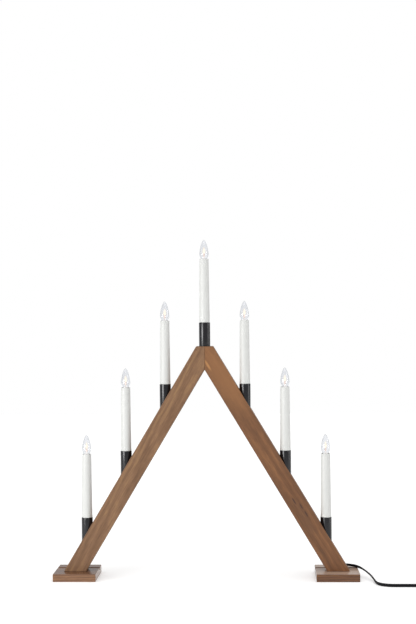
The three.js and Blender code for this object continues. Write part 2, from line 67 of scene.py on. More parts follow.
# Camera where the photograph was taken from, found from the pixels of the rims, feet and bulb tips
cameraSizes = {
    "place": (87.24, -1982.91, 426.01), "yaw": 2.3614, "pitch": -0.237, "roll": -0.4774,
    "focalPixels": 1259.86, "imageHeight": 624, "sensor": 36, "clip": (0.05, 50),
}


def placeCamera(sizes):
    yaw, pitch, roll = (math.radians(sizes[key]) for key in ("yaw", "pitch", "roll"))
    level = Vector((math.cos(yaw), math.sin(yaw), 0))
    ahead = Vector((-math.sin(yaw), math.cos(yaw), 0))
    forward = ahead * math.cos(pitch) + Vector((0, 0, math.sin(pitch)))
    upright = Vector((0, 0, math.cos(pitch))) - ahead * math.sin(pitch)
    right = level * math.cos(roll) + upright * math.sin(roll)
    up = upright * math.cos(roll) - level * math.sin(roll)
    data = bpy.data.cameras.new("camera")
    data.sensor_width = sizes["sensor"]
    data.lens = sizes["focalPixels"] / sizes["imageHeight"] * sizes["sensor"]
    data.clip_start, data.clip_end = sizes["clip"]
    camera = bpy.data.objects.new("camera", data)
    camera.matrix_world = Matrix((right, up, -forward)).transposed().to_4x4()
    camera.location = Vector(sizes["place"]) * mm
    scene.collection.objects.link(camera)
    scene.camera = camera


placeCamera(cameraSizes)
print("camera placed")


# Mesh object from points in millimetres, with doubles merged and faces turned outwards; where it has
# several materials, each face has the number of its own
def solidFrom(name, points, faces, sharpDegrees=38, materials=(), numbers=()):
    mesh = bpy.data.meshes.new(name)
    mesh.from_pydata([[c * mm for c in point] for point in points], [], faces)
    for material in materials:
        mesh.materials.append(material)
    for face, number in zip(mesh.polygons, numbers):
        face.material_index = number
    shape = bmesh.new()
    shape.from_mesh(mesh)
    bmesh.ops.remove_doubles(shape, verts=shape.verts, dist=1e-7)
    bmesh.ops.recalc_face_normals(shape, faces=shape.faces)
    smoothEdges(shape, sharpDegrees)
    shape.to_mesh(mesh)
    shape.free()
    piece = bpy.data.objects.new(name, mesh)
    scene.collection.objects.link(piece)
    return piece


def smoothEdges(shape, sharpDegrees):
    for face in shape.faces:
        face.smooth = True
    for edge in shape.edges:
        edge.smooth = edge.calc_face_angle(0) < math.radians(sharpDegrees)


# Directions along a line of points
def headings(line):
    along = np.gradient(line, axis=0)
    return along / np.linalg.norm(along, axis=1)[:, None]


# Faces of a closed tube from its rings of points, with both ends
def tubeFaces(rings, count):
    faces = [list(range(count))[::-1], list(range((rings - 1) * count, rings * count))]
    for low in range(0, (rings - 1) * count, count):
        for k in range(count):
            m = (k + 1) % count
            faces.append([low + k, low + m, low + count + m, low + count + k])
    return faces


# Points and faces of a piece turned about the Z axis, from radius and height pairs
def turned(profile, sides):
    points, faces, rings = [], [], []
    for radius, height in profile:
        count = sides if radius > 1e-6 else 1
        rings.append(range(len(points), len(points) + count))
        for k in range(count):
            angle = 2 * math.pi * k / sides
            points.append((radius * math.cos(angle), radius * math.sin(angle), height))
    for low, high in zip(rings, rings[1:]):
        for k in range(sides):
            corners = [low[k % len(low)], low[(k + 1) % sides % len(low)],
                       high[(k + 1) % sides % len(high)], high[k % len(high)]]
            corners = list(dict.fromkeys(corners))
            if len(corners) > 2:
                faces.append(corners)
    return points, faces


# Rounds the corners of an open outline with small curves
def softened(outline, radius, steps=3):
    corners = [Vector(point) for point in outline]
    result = [corners[0]]
    for before, corner, after in zip(corners, corners[1:], corners[2:]):
        back, on = before - corner, after - corner
        cut = min(radius, 0.45 * back.length, 0.45 * on.length)
        start, end = corner + back.normalized() * cut, corner + on.normalized() * cut
        for k in range(steps + 1):
            t = k / steps
            result.append(start * (1 - t) ** 2 + corner * 2 * t * (1 - t) + end * t ** 2)
    return [tuple(point) for point in result + [corners[-1]]]


# Puts one set of points and faces after another
def together(*parts):
    points, faces = [], []
    for morePoints, moreFaces in parts:
        faces += [[corner + len(points) for corner in face] for face in moreFaces]
        points += list(morePoints)
    return points, faces


def moved(part, turn=None, shift=(0, 0, 0)):
    place = Matrix.Translation(shift) @ (turn.to_4x4() if turn else Matrix.Identity(4))
    return [tuple(place @ Vector(point)) for point in part[0]], part[1]


# Lathe part laid along the line between two points
def barBetween(start, end, radius, sides=48):
    start, end = Vector(start), Vector(end)
    line = end - start
    profile = [(0, 0), (radius, 0), (radius, line.length), (0, line.length)]
    return moved(turned(profile, sides), line.to_track_quat("Z", "Y").to_matrix(), start)


# The finished piece rides on its body and stands for its solids
def settle(piece, body, slotName, nodes, *materials):
    if materials:
        piece.data.materials.clear()
        for material in materials:
            piece.data.materials.append(material)
    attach(piece, body)
    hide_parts(*nodes)
    return piece


# New material with the constant values of its shader
def newMaterial(name, values=None):
    material = bpy.data.materials.new(name)
    material.use_nodes = True
    tree = material.node_tree
    shader = tree.nodes["Principled BSDF"]
    for socket, value in (values or {}).items():
        shader.inputs[socket].default_value = value
    return material, tree, shader


# The lead: black flat twin flex, 5 by 2.5 mm and 1.77 m long, over the end of the right foot,
# forward over the table and into a coil outside the picture
leadSizes = {
    "width": 5, "thickness": 2.5, "webThickness": 1.55, "gap": 0.3,
    "start": (218.41, 17.03, 16.41),
    "coilTurns": 8, "turnsPerLayer": 4, "outerRadius": 36.4, "turnPitch": 3.25,
    "layerPitch": 5.75, "coilX": 374, "frontY": -71, "baseZ": 3.9, "tableZ": 2.55,
    "plugBack": 430, "plugZ": 6.9, "length": 1.77,
    "sectionSteps": (2.5, 2.4, 2.15, 1.75, 1.25, 0.85, 0.5, 0.22, 0),  # across one half of the section
    # share of the free stretch, and the lean of the flat side from level there
    "lean": [(0, 38), (0.033, 42), (0.07, 57), (0.093, 57), (0.112, 52), (0.137, 44), (0.16, 39),
             (0.188, 35), (0.229, 38), (0.275, 47), (0.312, 55), (0.371, 64), (0.6, 90), (1, 90)],
}


# Points of a cubic spline that is clamped at its ends
def splineAlong(stops, perSpan=24):
    data = bpy.data.curves.new("route", "CURVE")
    data.dimensions = "3D"
    line = data.splines.new("NURBS")
    line.points.add(len(stops) - 1)
    for point, stop in zip(line.points, stops):
        point.co = (*stop, 1)
    line.order_u, line.use_endpoint_u, line.resolution_u = 4, True, perSpan
    holder = bpy.data.objects.new("route", data)
    scene.collection.objects.link(holder)
    mesh = holder.to_mesh()
    points = np.array([vertex.co[:] for vertex in mesh.vertices])
    holder.to_mesh_clear()
    bpy.data.objects.remove(holder)
    return points


def evenlySpaced(points, step):
    lengths = np.r_[0, np.cumsum(np.linalg.norm(np.diff(points, axis=0), axis=1))]
    count = max(2, int(round(lengths[-1] / step)) + 1)
    places = np.linspace(0, lengths[-1], count)
    return np.column_stack([np.interp(places, lengths, points[:, k]) for k in range(3)])


def coilPoints(sizes, stepsPerTurn=72):
    points = []
    for k in range(sizes["coilTurns"] * stepsPerTurn + 1):
        turns = min(k / stepsPerTurn, sizes["coilTurns"] - 1e-6)
        layer = int(turns // sizes["turnsPerLayer"])
        inLayer = turns - layer * sizes["turnsPerLayer"]
        inward = inLayer if layer % 2 == 0 else sizes["turnsPerLayer"] - inLayer
        radius = sizes["outerRadius"] - sizes["turnPitch"] * inward
        climb = min(max((turns - sizes["turnsPerLayer"]) * 2 + 0.5, 0), 1)
        angle = turns * 2 * math.pi - math.pi / 2
        points.append((sizes["coilX"] + radius * math.cos(angle),
                       sizes["frontY"] + sizes["outerRadius"] + radius * math.sin(angle),
                       sizes["baseZ"] + climb * sizes["layerPitch"]))
    return np.array(points)


def leadRoute(sizes):
    width, frontY, coilX = sizes["width"], sizes["frontY"], sizes["coilX"]
    tableZ, baseZ, plugZ = sizes["tableZ"], sizes["baseZ"], sizes["plugZ"]
    topZ = baseZ + sizes["layerPitch"]
    free = splineAlong([
        sizes["start"], (223.0, 17.2, 16.1), (227.8, 16.4, 15.6), (232.4, 14.5, 15.1), (236.5, 11.7, 14.7),
        (240.0, 8.1, 14.2), (243.5, 3.1, 13.4), (247.6, -4.0, 11.8), (252.4, -12.6, 9.4), (256.4, -22.3, 6.9),
        (259.2, -33.0, 4.3), (260.9, -44.5, 2.7), (262.0, -53.2, tableZ), (264.4, -59.1, tableZ),
        (268.2, -64.0, tableZ), (273.1, -67.8, tableZ), (278.8, -70.2, tableZ), (285.0, frontY, tableZ),
        (293.0, frontY, tableZ), (302.0, frontY, tableZ), (315.0, frontY, tableZ), (330.0, frontY, tableZ),
        (346.0, frontY, 3.0), (coilX - 2 * width, frontY, baseZ),
        (coilX - width - sizes["gap"], frontY, baseZ),
    ])
    toPlug = splineAlong([
        (coilX + width + sizes["gap"], frontY, topZ), (coilX + 2 * width, frontY, topZ),
        (coilX + 22, frontY, 9.1), (coilX + 34, frontY, 7.6), (coilX + 45, frontY, plugZ),
        (sizes["plugBack"] - sizes["gap"], frontY, plugZ),
    ])
    free, toPlug = evenlySpaced(free, 1.0), evenlySpaced(toPlug, 2.0)
    coil = coilPoints(sizes)
    shares = np.linspace(0, 1, len(free))
    leans = np.r_[np.interp(shares, *zip(*sizes["lean"])), np.full(len(coil), 90.0),
                  np.linspace(90, 0, len(toPlug))]
    return np.vstack([free, coil, toPlug]), np.radians(leans)


# Figure-8 section: two round cores with a thin web between them
def leadSection(sizes):
    core = sizes["thickness"] / 2
    half = []
    for x in sizes["sectionSteps"]:
        bulge = math.sqrt(max(core ** 2 - (x - core) ** 2, 0))
        half.append((x, max(bulge, sizes["webThickness"] / 2) if x < core else bulge))
    top = half + [(-x, y) for x, y in reversed(half[:-1])]
    return top + [(x, -y) for x, y in reversed(top[1:-1])]


def makeLead(sizes):
    route, leans = leadRoute(sizes)
    section = leadSection(sizes)
    along = headings(route)
    level = np.cross((0, 0, 1), along)
    level /= np.linalg.norm(level, axis=1)[:, None]
    upright = np.cross(along, level)
    across = level * np.cos(leans)[:, None] - upright * np.sin(leans)[:, None]
    through = np.cross(along, across)
    points = [spot + x * a + y * b for spot, a, b in zip(route, across, through) for x, y in section]
    return solidFrom("mains_lead", points, tubeFaces(len(route), len(section)), 50), route


mainsLead, leadPath = makeLead(leadSizes)
print("lead laid,", len(mainsLead.data.vertices), "points")

# Sizes of the frame, as the model has them
frameSizes = {
    "gap": 0.3, "angle": 59.1, "legWidth": 30, "legDepth": 26.0, "legCentreY": -3.8, "crown": 386.063,
    "apexHeight": 364, "apexFlat": 26.4, "edge": 0.6, "candlePitch": 62.693, "rimAboveSlope": 23.4,
    "apexRim": 401.3, "holderRadius": 8.75, "holderLength": 50, "wireHole": 5, "crossHole": 2.5,
    "coverWidth": 10, "coverThickness": 1.8, "coverLow": 25.722, "coverEdge": 0.3, "wireWidth": 4.4,
    "wireThickness": 1.1, "dowelAboveNotch": 6.3, "dowelRadius": 3, "dowelReach": 12.3, "overcut": 1,
    "gripX": 196.196, "gripZ": 18.0, "gripRadius": 3.8, "gripInsert": 7.5,
    "screwX": 201.387, "screwRadius": 2, "screwHead": 4, "screwRecess": 0.5, "screwNeck": 2.8,
    "screwTop": 32.0, "screwPoint": 4, "slotReach": 2.1, "slotFloor": 1.1, "slotDepth": 2.2, "slotWidth": 0.9,
    "footX": 204.787, "footLength": 67, "footDepth": 75, "footHeight": 12, "footEdge": 0.7,
    "grooveFront": 9.5, "grooveWidth": 6.5, "grooveDepth": 3.5,
}
slope = math.tan(math.radians(frameSizes["angle"]))
acrossSlope = 1 / math.cos(math.radians(frameSizes["angle"]))
notchHeight = frameSizes["crown"] - frameSizes["legWidth"] * acrossSlope
grooveCrown = (notchHeight + frameSizes["apexHeight"]) / 2
legBack = frameSizes["legCentreY"] + frameSizes["legDepth"] / 2


def outerX(height):
    return (frameSizes["crown"] - height) / slope


# Height of a holder's rim over the table, for the candles counted from the middle
def rimHeight(step):
    surface = frameSizes["crown"] - abs(step) * frameSizes["candlePitch"] * slope
    return frameSizes["apexRim"] if step == 0 else surface + frameSizes["rimAboveSlope"]


# Height at which the wires of a candle cross to the groove in the back of the leg
def crossingHeight(step):
    groove = grooveCrown - abs(step) * frameSizes["candlePitch"] * slope
    seat = rimHeight(step) - frameSizes["holderLength"]
    return min(groove, seat - frameSizes["gap"] - frameSizes["crossHole"])


def prism(corners, frontY, backY):
    count = len(corners)
    points = [(x, y, z) for y in (frontY, backY) for x, z in corners]
    faces = [list(range(count)), list(range(count, 2 * count))[::-1]]
    faces += [[k, (k + 1) % count, (k + 1) % count + count, k + count] for k in range(count)]
    return points, faces


# Band along the back of a leg, on the line halfway between its two sides
def backBand(side, width, lowZ, frontY, backY, innerX):
    angle = math.radians(frameSizes["angle"])
    half = width / 2 * acrossSlope
    lowX, start = (grooveCrown - lowZ) / slope, grooveCrown - innerX * slope
    dropX, dropZ = width / 2 * math.sin(angle), width / 2 * math.cos(angle)
    corners = [(innerX, start - half), (lowX - dropX, lowZ - dropZ), (lowX + dropX, lowZ + dropZ),
               (innerX, start + half)]
    return prism([(side * x, z) for x, z in corners], frontY, backY)


def plainMesh(piece):
    graph = bpy.context.evaluated_depsgraph_get()
    mesh = bpy.data.meshes.new_from_object(piece.evaluated_get(graph))
    piece.modifiers.clear()
    piece.data = mesh


# Rounds the chosen edges, then cuts the tools away, so that drilled edges stay crisp
def carved(name, part, tools, edge, isRounded):
    piece = solidFrom(name, *part)
    shape = bmesh.new()
    shape.from_mesh(piece.data)
    chosen = [e for e in shape.edges if isRounded(*((e.verts[0].co + e.verts[1].co) / 2 / mm))]
    bmesh.ops.bevel(shape, geom=chosen, offset=edge * mm, segments=3, profile=0.5, affect="EDGES")
    shape.to_mesh(piece.data)
    shape.free()
    cutters = [solidFrom("tool", *tool) for tool in tools]
    for cutter in cutters:
        cut = piece.modifiers.new("cut", "BOOLEAN")
        cut.operation, cut.solver, cut.object = "DIFFERENCE", "EXACT", cutter
    plainMesh(piece)
    for cutter in cutters:
        bpy.data.objects.remove(cutter)
    shape = bmesh.new()
    shape.from_mesh(piece.data)
    bmesh.ops.remove_doubles(shape, verts=shape.verts, dist=2e-6)
    smoothEdges(shape, 38)
    shape.to_mesh(piece.data)
    shape.free()
    piece.modifiers.new("normals", "WEIGHTED_NORMAL").keep_sharp = True
    plainMesh(piece)
    return piece


def candleTools(step):
    sizes, y, x = frameSizes, frameSizes["legCentreY"], step * frameSizes["candlePitch"]
    rim, crossing, past = rimHeight(step), crossingHeight(step), frameSizes["overcut"]
    seat, cross, bore = rim - sizes["holderLength"], sizes["crossHole"], sizes["holderRadius"] + sizes["gap"]
    return [
        barBetween((x, y, seat - sizes["gap"]), (x, y, rim + past), bore, sides=64),
        barBetween((x, y, crossing - cross), (x, y, seat + past), sizes["wireHole"], sides=32),
        barBetween((x, y - cross, crossing), (x, legBack + past, crossing), cross, sides=24),
    ]


def screwTool(side):
    sizes, past = frameSizes, frameSizes["overcut"]
    head, shank, top = (sizes[key] + sizes["gap"] for key in ("screwHead", "screwRadius", "screwTop"))
    profile = [(0, -past), (head, -past), (head, sizes["screwRecess"]), (shank, sizes["screwNeck"]),
               (shank, top), (0, top)]
    return moved(turned(profile, sides=32), None, (side * sizes["screwX"], sizes["legCentreY"], 0))


def makeLeg(name, side):
    sizes, gap, past = frameSizes, frameSizes["gap"], frameSizes["overcut"]
    base, centre = sizes["footHeight"] + gap, sizes["legCentreY"]
    footWidth = sizes["legWidth"] / math.sin(math.radians(sizes["angle"]))
    apexZ = sizes["apexHeight"]
    corners = [(gap / 2, notchHeight - gap / 2 * slope), (outerX(base) - footWidth, base),
               (outerX(base), base), (sizes["apexFlat"] / 2, apexZ), (gap / 2, apexZ)]
    tools = [tool for step in range(4) for tool in candleTools(side * step)]
    cover = sizes["coverThickness"] + gap
    wires = cover + sizes["wireThickness"] + gap
    wiresLow = sizes["gripZ"] if side > 0 else crossingHeight(3) - sizes["wireWidth"]
    bands = (sizes["coverWidth"], sizes["coverLow"] - gap, cover), (sizes["wireWidth"], wiresLow, wires)
    for width, low, depth in bands:
        tools.append(backBand(side, width + 2 * gap, low, legBack - depth, legBack + past, -past))
    dowelZ, reach = notchHeight + sizes["dowelAboveNotch"], sizes["dowelReach"]
    dowelBore, gripBore = sizes["dowelRadius"] + gap, sizes["gripRadius"] + gap
    tools.append(barBetween((-reach, centre, dowelZ), (reach, centre, dowelZ), dowelBore, sides=32))
    tools.append(screwTool(side))
    if side > 0:
        gripX, gripZ, deepest = sizes["gripX"], sizes["gripZ"], legBack - sizes["gripInsert"] - gap
        tools.append(barBetween((gripX, deepest, gripZ), (gripX, legBack + past, gripZ), gripBore))
    outline = [(side * x, z) for x, z in corners]
    # the foot of the leg and the mitre stay sharp
    return carved(name, prism(outline, centre - sizes["legDepth"] / 2, legBack), tools, sizes["edge"],
                  lambda x, y, z: z > base + gap and abs(x) > gap)


def makeFoot(name, side):
    sizes, past = frameSizes, frameSizes["overcut"]
    centre, half = side * sizes["footX"], sizes["footLength"] / 2
    left, right, back, height = centre - half, centre + half, sizes["footDepth"] / 2, sizes["footHeight"]
    block = prism([(left, 0), (right, 0), (right, height), (left, height)], -back, back)
    low, start = height - sizes["grooveDepth"], sizes["grooveFront"]
    groove = prism([(left - past, low), (right + past, low), (right + past, height + past),
                    (left - past, height + past)], start, start + sizes["grooveWidth"])
    return carved(name, block, [groove, screwTool(side)], sizes["footEdge"], lambda x, y, z: True)


def makeCover(name, side):
    sizes, gap = frameSizes, frameSizes["gap"]
    front = legBack - sizes["coverThickness"]
    band = backBand(side, sizes["coverWidth"], sizes["coverLow"], front, legBack, gap / 2)
    # only the outer edges are rounded, not those at the mitre
    return carved(name, band, [], sizes["coverEdge"], lambda x, y, z: abs(x) > gap and y > front + gap)


# Noise in cells of the given sizes along x, y and z in millimetres, on the piece's own coordinates
# unless it is given others
def noiseIn(tree, cell, detail, spot=None, output=0, **more):
    if spot is None:
        spot = addNode(tree, "ShaderNodeTexCoord").outputs["Object"]
    scale = [1 / mm / size for size in cell]
    cells = addNode(tree, "ShaderNodeVectorMath", {0: spot, 1: scale}, operation="MULTIPLY").outputs[0]
    return addNode(tree, "ShaderNodeTexNoise", {
        "Vector": cells, "Scale": 1.0, "Detail": detail, **more}).outputs[output]


# Ties noises to a shader: its colour between two, its roughness between two, and relief of a
# strength and a depth in millimetres
def finished(tree, shader, tint=None, dull=None, relief=None, tinted="Base Color"):
    if tint:
        noise, (first, second) = tint
        mixed = addNode(tree, "ShaderNodeMix", {
            0: noise, 6: linear(first), 7: linear(second)}, data_type="RGBA")
        tree.links.new(mixed.outputs[2], shader.inputs[tinted])
    if dull:
        noise, smooth, rough = dull
        spread = addNode(tree, "ShaderNodeMapRange", {"Value": noise, "To Min": smooth, "To Max": rough})
        tree.links.new(spread.outputs[0], shader.inputs["Roughness"])
    if relief:
        height, strength, depth = relief
        bump = addNode(tree, "ShaderNodeBump", {
            "Height": height, "Strength": strength, "Distance": depth * mm})
        tree.links.new(bump.outputs[0], shader.inputs["Normal"])


# Gives a colour ramp its stops, from places and sRGB colours
def setStops(ramp, stops):
    while len(ramp.elements) < len(stops):
        ramp.elements.new(0.5)
    for element, (place, colour) in zip(ramp.elements, stops):
        element.position, element.color = place, linear(colour)


# What the stained woods share: cells in millimetres, the noise between bare wood and full pores, the
# height over which the painted light and shade of a foot's top set in, and the spread of the sheen
woodSizes = {
    "wander": (110, 30, 30), "pore": (14, 0.5, 0.5), "poreFrom": 0.6, "poreFull": 0.72, "poreShare": 0.35,
    "ringTurns": 0.314, "markHeart": 0.3, "paintedTopFrom": 11.8, "paintedTopFull": 11.95,
    "glossier": 0.06, "duller": 0.08, "reliefDepth": 0.15,
}


# Coordinates that run along the grain and sway a little across it
def fibreAlong(tree, spot, look):
    grain = addNode(tree, "ShaderNodeMapping", {
        "Vector": spot, "Rotation": (0, math.radians(look["turn"]), 0),
        "Location": [c * mm for c in look["shift"]]}).outputs[0]
    wander = noiseIn(tree, woodSizes["wander"], 2.0, grain, "Color")
    centred = addNode(tree, "ShaderNodeVectorMath", {0: wander, 1: (0.5, 0.5, 0.5)}, operation="SUBTRACT")
    sway = look["wander"] * mm
    return addNode(tree, "ShaderNodeVectorMath", {
        0: centred.outputs[0], 1: (0, sway, sway), 2: grain}, operation="MULTIPLY_ADD").outputs[0]


# Streaks and growth rings summed by their shares
def streakTone(tree, fibre, layers, look):
    pith = addNode(tree, "ShaderNodeMapping", {
        "Vector": fibre, "Location": [c * mm for c in look["pith"]],
        "Rotation": [math.radians(a) for a in look["pithTilt"]]})
    rings = addNode(tree, "ShaderNodeTexWave", {
        "Vector": pith.outputs[0], "Scale": woodSizes["ringTurns"] / (look["ringSpacing"] * mm),
        "Distortion": 1.6, "Detail": 2.0, "Detail Scale": 1.4},
        wave_type="RINGS", rings_direction="X").outputs["Fac"]
    tone = 0.0
    for share, layer in zip(look["shares"], layers + [rings]):
        tone = addNode(tree, "ShaderNodeMath", {
            0: layer, 1: share, 2: tone}, operation="MULTIPLY_ADD").outputs[0]
    return tone


# Lays the dark and pale marks over the colour, each at its place and soft towards its edge
def markedOver(tree, fibre, colour, look):
    turn = Matrix.Rotation(math.radians(look["turn"]), 3, "Y")
    for place, size, markColour, strength in look["marks"]:
        centre = turn @ Vector(place) + Vector(look["shift"])
        off = addNode(tree, "ShaderNodeVectorMath", {0: fibre, 1: centre * mm}, operation="SUBTRACT")
        share = addNode(tree, "ShaderNodeVectorMath", {
            0: off.outputs[0], 1: [1 / mm / length for length in size]}, operation="MULTIPLY")
        reach = addNode(tree, "ShaderNodeVectorMath", {0: share.outputs[0]}, operation="LENGTH")
        within = addNode(tree, "ShaderNodeMapRange", {
            "Value": reach.outputs["Value"], "From Min": 1.0, "From Max": woodSizes["markHeart"],
            "To Min": 0.0, "To Max": strength}, interpolation_type="SMOOTHSTEP")
        colour = addNode(tree, "ShaderNodeMix", {
            0: within.outputs[0], 6: colour, 7: linear(markColour)}, data_type="RGBA").outputs[2]
    return colour


# Stained softwood, planed and sanded, with a matt water-borne stain: brown long grain with paler
# and darker streaks, fine pores, and a soft sheen only at low angles. The streaks of the legs are
# 13, 1.8 and 1.1 mm wide, coarser than real fibres, so that they show at 1.6 mm a pixel.
def stainedWood(name, look):
    material, tree, shader = newMaterial(name, {"IOR": 1.5})
    spot = addNode(tree, "ShaderNodeTexCoord").outputs["Object"]
    fibre = fibreAlong(tree, spot, look)
    layers = [noiseIn(tree, (length, width, width), detail, fibre, Roughness=0.6)
              for length, width, detail in look["layers"]]
    stain = addNode(tree, "ShaderNodeValToRGB", {"Fac": streakTone(tree, fibre, layers, look)})
    setStops(stain.color_ramp, look["stain"])
    pores = addNode(tree, "ShaderNodeMapRange", {
        "Value": noiseIn(tree, woodSizes["pore"], 1.0, fibre), "From Min": woodSizes["poreFrom"],
        "From Max": woodSizes["poreFull"], "To Max": woodSizes["poreShare"]}).outputs[0]
    colour = addNode(tree, "ShaderNodeMix", {
        0: pores, 6: stain.outputs[0], 7: linear(look["pore"])}, data_type="RGBA").outputs[2]
    colour = markedOver(tree, fibre, colour, look)
    # painted light and shade on a foot's top: paler on the right foot as lit and glossy, darker on the left
    # as shaded
    paintedTopColour, paintedTopShare = look["paintedTopLighting"]
    paintedTop = addNode(tree, "ShaderNodeMapRange", {
        "Value": addNode(tree, "ShaderNodeSeparateXYZ", {"Vector": spot}).outputs["Z"],
        "From Min": woodSizes["paintedTopFrom"] * mm, "From Max": woodSizes["paintedTopFull"] * mm, "To Max": paintedTopShare})
    colour = addNode(tree, "ShaderNodeMix", {
        0: paintedTop.outputs[0], 6: colour, 7: linear(paintedTopColour)}, data_type="RGBA").outputs[2]
    tree.links.new(colour, shader.inputs["Base Color"])
    rough = look["roughness"]
    dull = addNode(tree, "ShaderNodeMapRange", {
        "Value": layers[-1], "From Min": 0.3, "From Max": 0.7,
        "To Min": rough - woodSizes["glossier"], "To Max": rough + woodSizes["duller"]})
    tree.links.new(dull.outputs[0], shader.inputs["Roughness"])
    height = addNode(tree, "ShaderNodeMath", {0: layers[-1], 1: pores}, operation="SUBTRACT").outputs[0]
    finished(tree, shader, relief=(height, look["relief"], woodSizes["reliefDepth"]))
    return material


# Streaks are length, width and detail of each layer, in millimetres; marks are place, size along, through
# and across the grain, colour and strength
leftLegLook = {
    "turn": 59.1, "shift": (0, 3.8, -183.2), "wander": 5.0,
    "layers": [(150, 13, 2), (42, 1.8, 3), (18, 1.1, 2)], "shares": [0.25, 0.3, 0.33, 0.12],
    "pith": (0, 40, 14), "pithTilt": (0, 1.5, -2.0), "ringSpacing": 5.0,
    "stain": [(0.3, "#61432b"), (0.43, "#785639"), (0.53, "#846144"), (0.66, "#9b764e")], "pore": "#523826",
    "roughness": 0.52, "relief": 0.25, "paintedTopLighting": ("#8a7466", 0.0), "marks": [],
}
rightLegLook = dict(
    leftLegLook, turn=-59.1, pith=(0, -30, 22), pithTilt=(0, -2.0, 1.5),
    stain=[(0.3, "#52341d"), (0.43, "#6c4628"), (0.53, "#774e2e"), (0.66, "#8e613a")], pore="#472d1b",
    marks=[
        ((137.9, -16.8, 121.8), (9, 8, 1.6), "#36221a", 0.9),
        ((148.5, -16.8, 113.6), (8, 8, 1.6), "#36231b", 0.85),
        ((156.6, -16.8, 101.8), (8, 8, 1.6), "#34231b", 0.9),
        ((156.0, -16.8, 93.0), (46, 20, 9), "#5d3f2a", 0.4),
        ((30.0, -16.8, 315.0), (90, 30, 30), "#99693f", 0.6),
        ((5.5, -16.8, 335.5), (13, 8, 2.4), "#bb854f", 0.8),
    ],
)
# the top of the left foot is painted darker, as painted shade
footLook = dict(
    leftLegLook, turn=0, shift=(0, 0, -6), wander=2.5, layers=[(90, 8, 2), (45, 2.6, 3), (26, 0.9, 2)],
    pith=(0, 20, 34), pithTilt=(0, 0.8, 1.0), ringSpacing=3.6,
    stain=[(0.3, "#583b28"), (0.43, "#75523a"), (0.53, "#8a6345"), (0.66, "#a07752")],
    roughness=0.2, relief=0.08, paintedTopLighting=("#4d2a1c", 0.5),
)
# the top of the right foot is painted pale beige, as painted light and a painted sheen
rightFootLook = dict(
    footLook, stain=[(0.3, "#442813"), (0.43, "#5e3b21"), (0.53, "#6e4626"), (0.66, "#84582e")],
    pore="#3a2416", paintedTopLighting=("#bda492", 0.8),
)

legWoods = [stainedWood(f"stained softwood, {side} leg", look)
            for side, look in (("left", leftLegLook), ("right", rightLegLook))]
footWoods = [stainedWood(f"stained softwood, {side} foot", look)
             for side, look in (("left", footLook), ("right", rightFootLook))]
for make, piece, slotName, node, woods in (
        (makeLeg, "leg_board", "stained_wood", "leg", legWoods),
        (makeFoot, "foot_block", "stained_foot", "foot", footWoods),
        (makeCover, "wire_strip", "stained_cover", "wire_cover", legWoods)):
    for side, sign, wood in zip(("left", "right"), (-1, 1), woods):
        settle(make(f"{side}_{piece}", sign), "frame", slotName, [f"{side}_{node}"], wood)
print("legs, feet and covers made")

# Candle parts, in millimetres from the rim of the holder; outlines are radius and height pairs, with
# radii as shares of the one that each names
candleSizes = {
    "sides": 64, "holderRadius": frameSizes["holderRadius"], "holderBore": 7.55,
    "holderLength": frameSizes["holderLength"], "holderEdge": 0.4,
    "sleeveHeight": 99.8, "sleeveTop": 7.2, "sleeveBore": 6.2, "mouth": 5.22, "mouthLip": 0.9,
    "mouthSlope": 0.6, "rimGap": 0.3, "collar": 8.4, "collarStep": 0.2, "collarHeight": 3, "collarEdge": 0.6,
    "collarRound": 0.15, "shaftRise": 0.5, "spigot": 7.3, "spigotLength": 20, "wireBore": 5.2, "lip": 0.5,
    "ledge": 76.9, "lampholderRadius": 5.9, "lampholderTop": 97.2, "lampholderBase": 77.2, "socket": 5.05,
    "socketFloor": 83.0,
    "capBase": 83.3, "capTop": 96.0, "capRadius": 4.75, "capInset": 0.35, "capFoot": 0.3, "capCollar": 1.6,
    "collarSlope": 0.5, "threadRise": 0.5, "threadDepth": 0.5, "threadPitch": 1.814, "threadTurns": 4,
    "insulator": 2.8, "contact": 1.0, "contactRadius": 2.2,
    "neckBase": 96.3, "belly": 107.0, "tip": 130.0, "glassRadius": 7.3, "neckRadius": 4.6, "wall": 0.6,
    # reach of the curves' handles: down to the neck, down from the belly, up from it, across at the tip
    "neckReach": 0.43, "underBelly": 0.3, "overBelly": 0.34, "tipReach": 0.43,
    "coilRadius": 0.75, "coilWire": 0.16, "coilPitch": 0.42, "coilTurns": 12, "coilLow": 109.2,
    "holdWire": 0.14, "holdLow": 104, "stemRadius": 1.7, "flareRadius": 3.75, "sealHeight": 0.2,
    "flareOutline": [(1, 99.2), (0.86, 100.3), (0.58, 101.3)],
    "stemOutline": [(0.95, 102.2), (0.6, 103.6), (0, 103.6)],
    "beadOutline": [(0, 103.7), (0.6, 103.7), (1, 105.2), (0.95, 106.4), (0.6, 108.0), (0.25, 109.1),
                    (0, 109.2)],
    "glowLow": 107.8, "glowTop": 118.6, "glowRadius": 2.7,
    # here the heights are shares too
    "glowOutline": [(0, 0), (0.6, 0.04), (0.92, 0.16), (1, 0.3), (0.86, 0.52), (0.55, 0.76), (0.25, 0.93),
                    (0, 1)],
}


# Outline of the glass from neck to tip, or of its inside when a wall is taken off
def glassOutline(sizes, wall, steps):
    wide, narrow, tip = sizes["glassRadius"] - wall, sizes["neckRadius"] - wall, sizes["tip"] - wall
    base, belly = sizes["neckBase"], sizes["belly"]
    drop, rise = belly - base, tip - belly
    neck = [(narrow, base), (narrow, belly - drop * sizes["neckReach"]),
            (wide, belly - drop * sizes["underBelly"]), (wide, belly)]
    dome = [(wide, belly), (wide, belly + rise * sizes["overBelly"]), (wide * sizes["tipReach"], tip),
            (0, tip)]
    points = []
    for stops in (neck, dome):
        for k in range(steps + 1):
            t = k / steps
            shares = ((1 - t) ** 3, 3 * t * (1 - t) ** 2, 3 * t ** 2 * (1 - t), t ** 3)
            points.append(tuple(sum(s * stop[i] for s, stop in zip(shares, stops)) for i in (0, 1)))
    return points


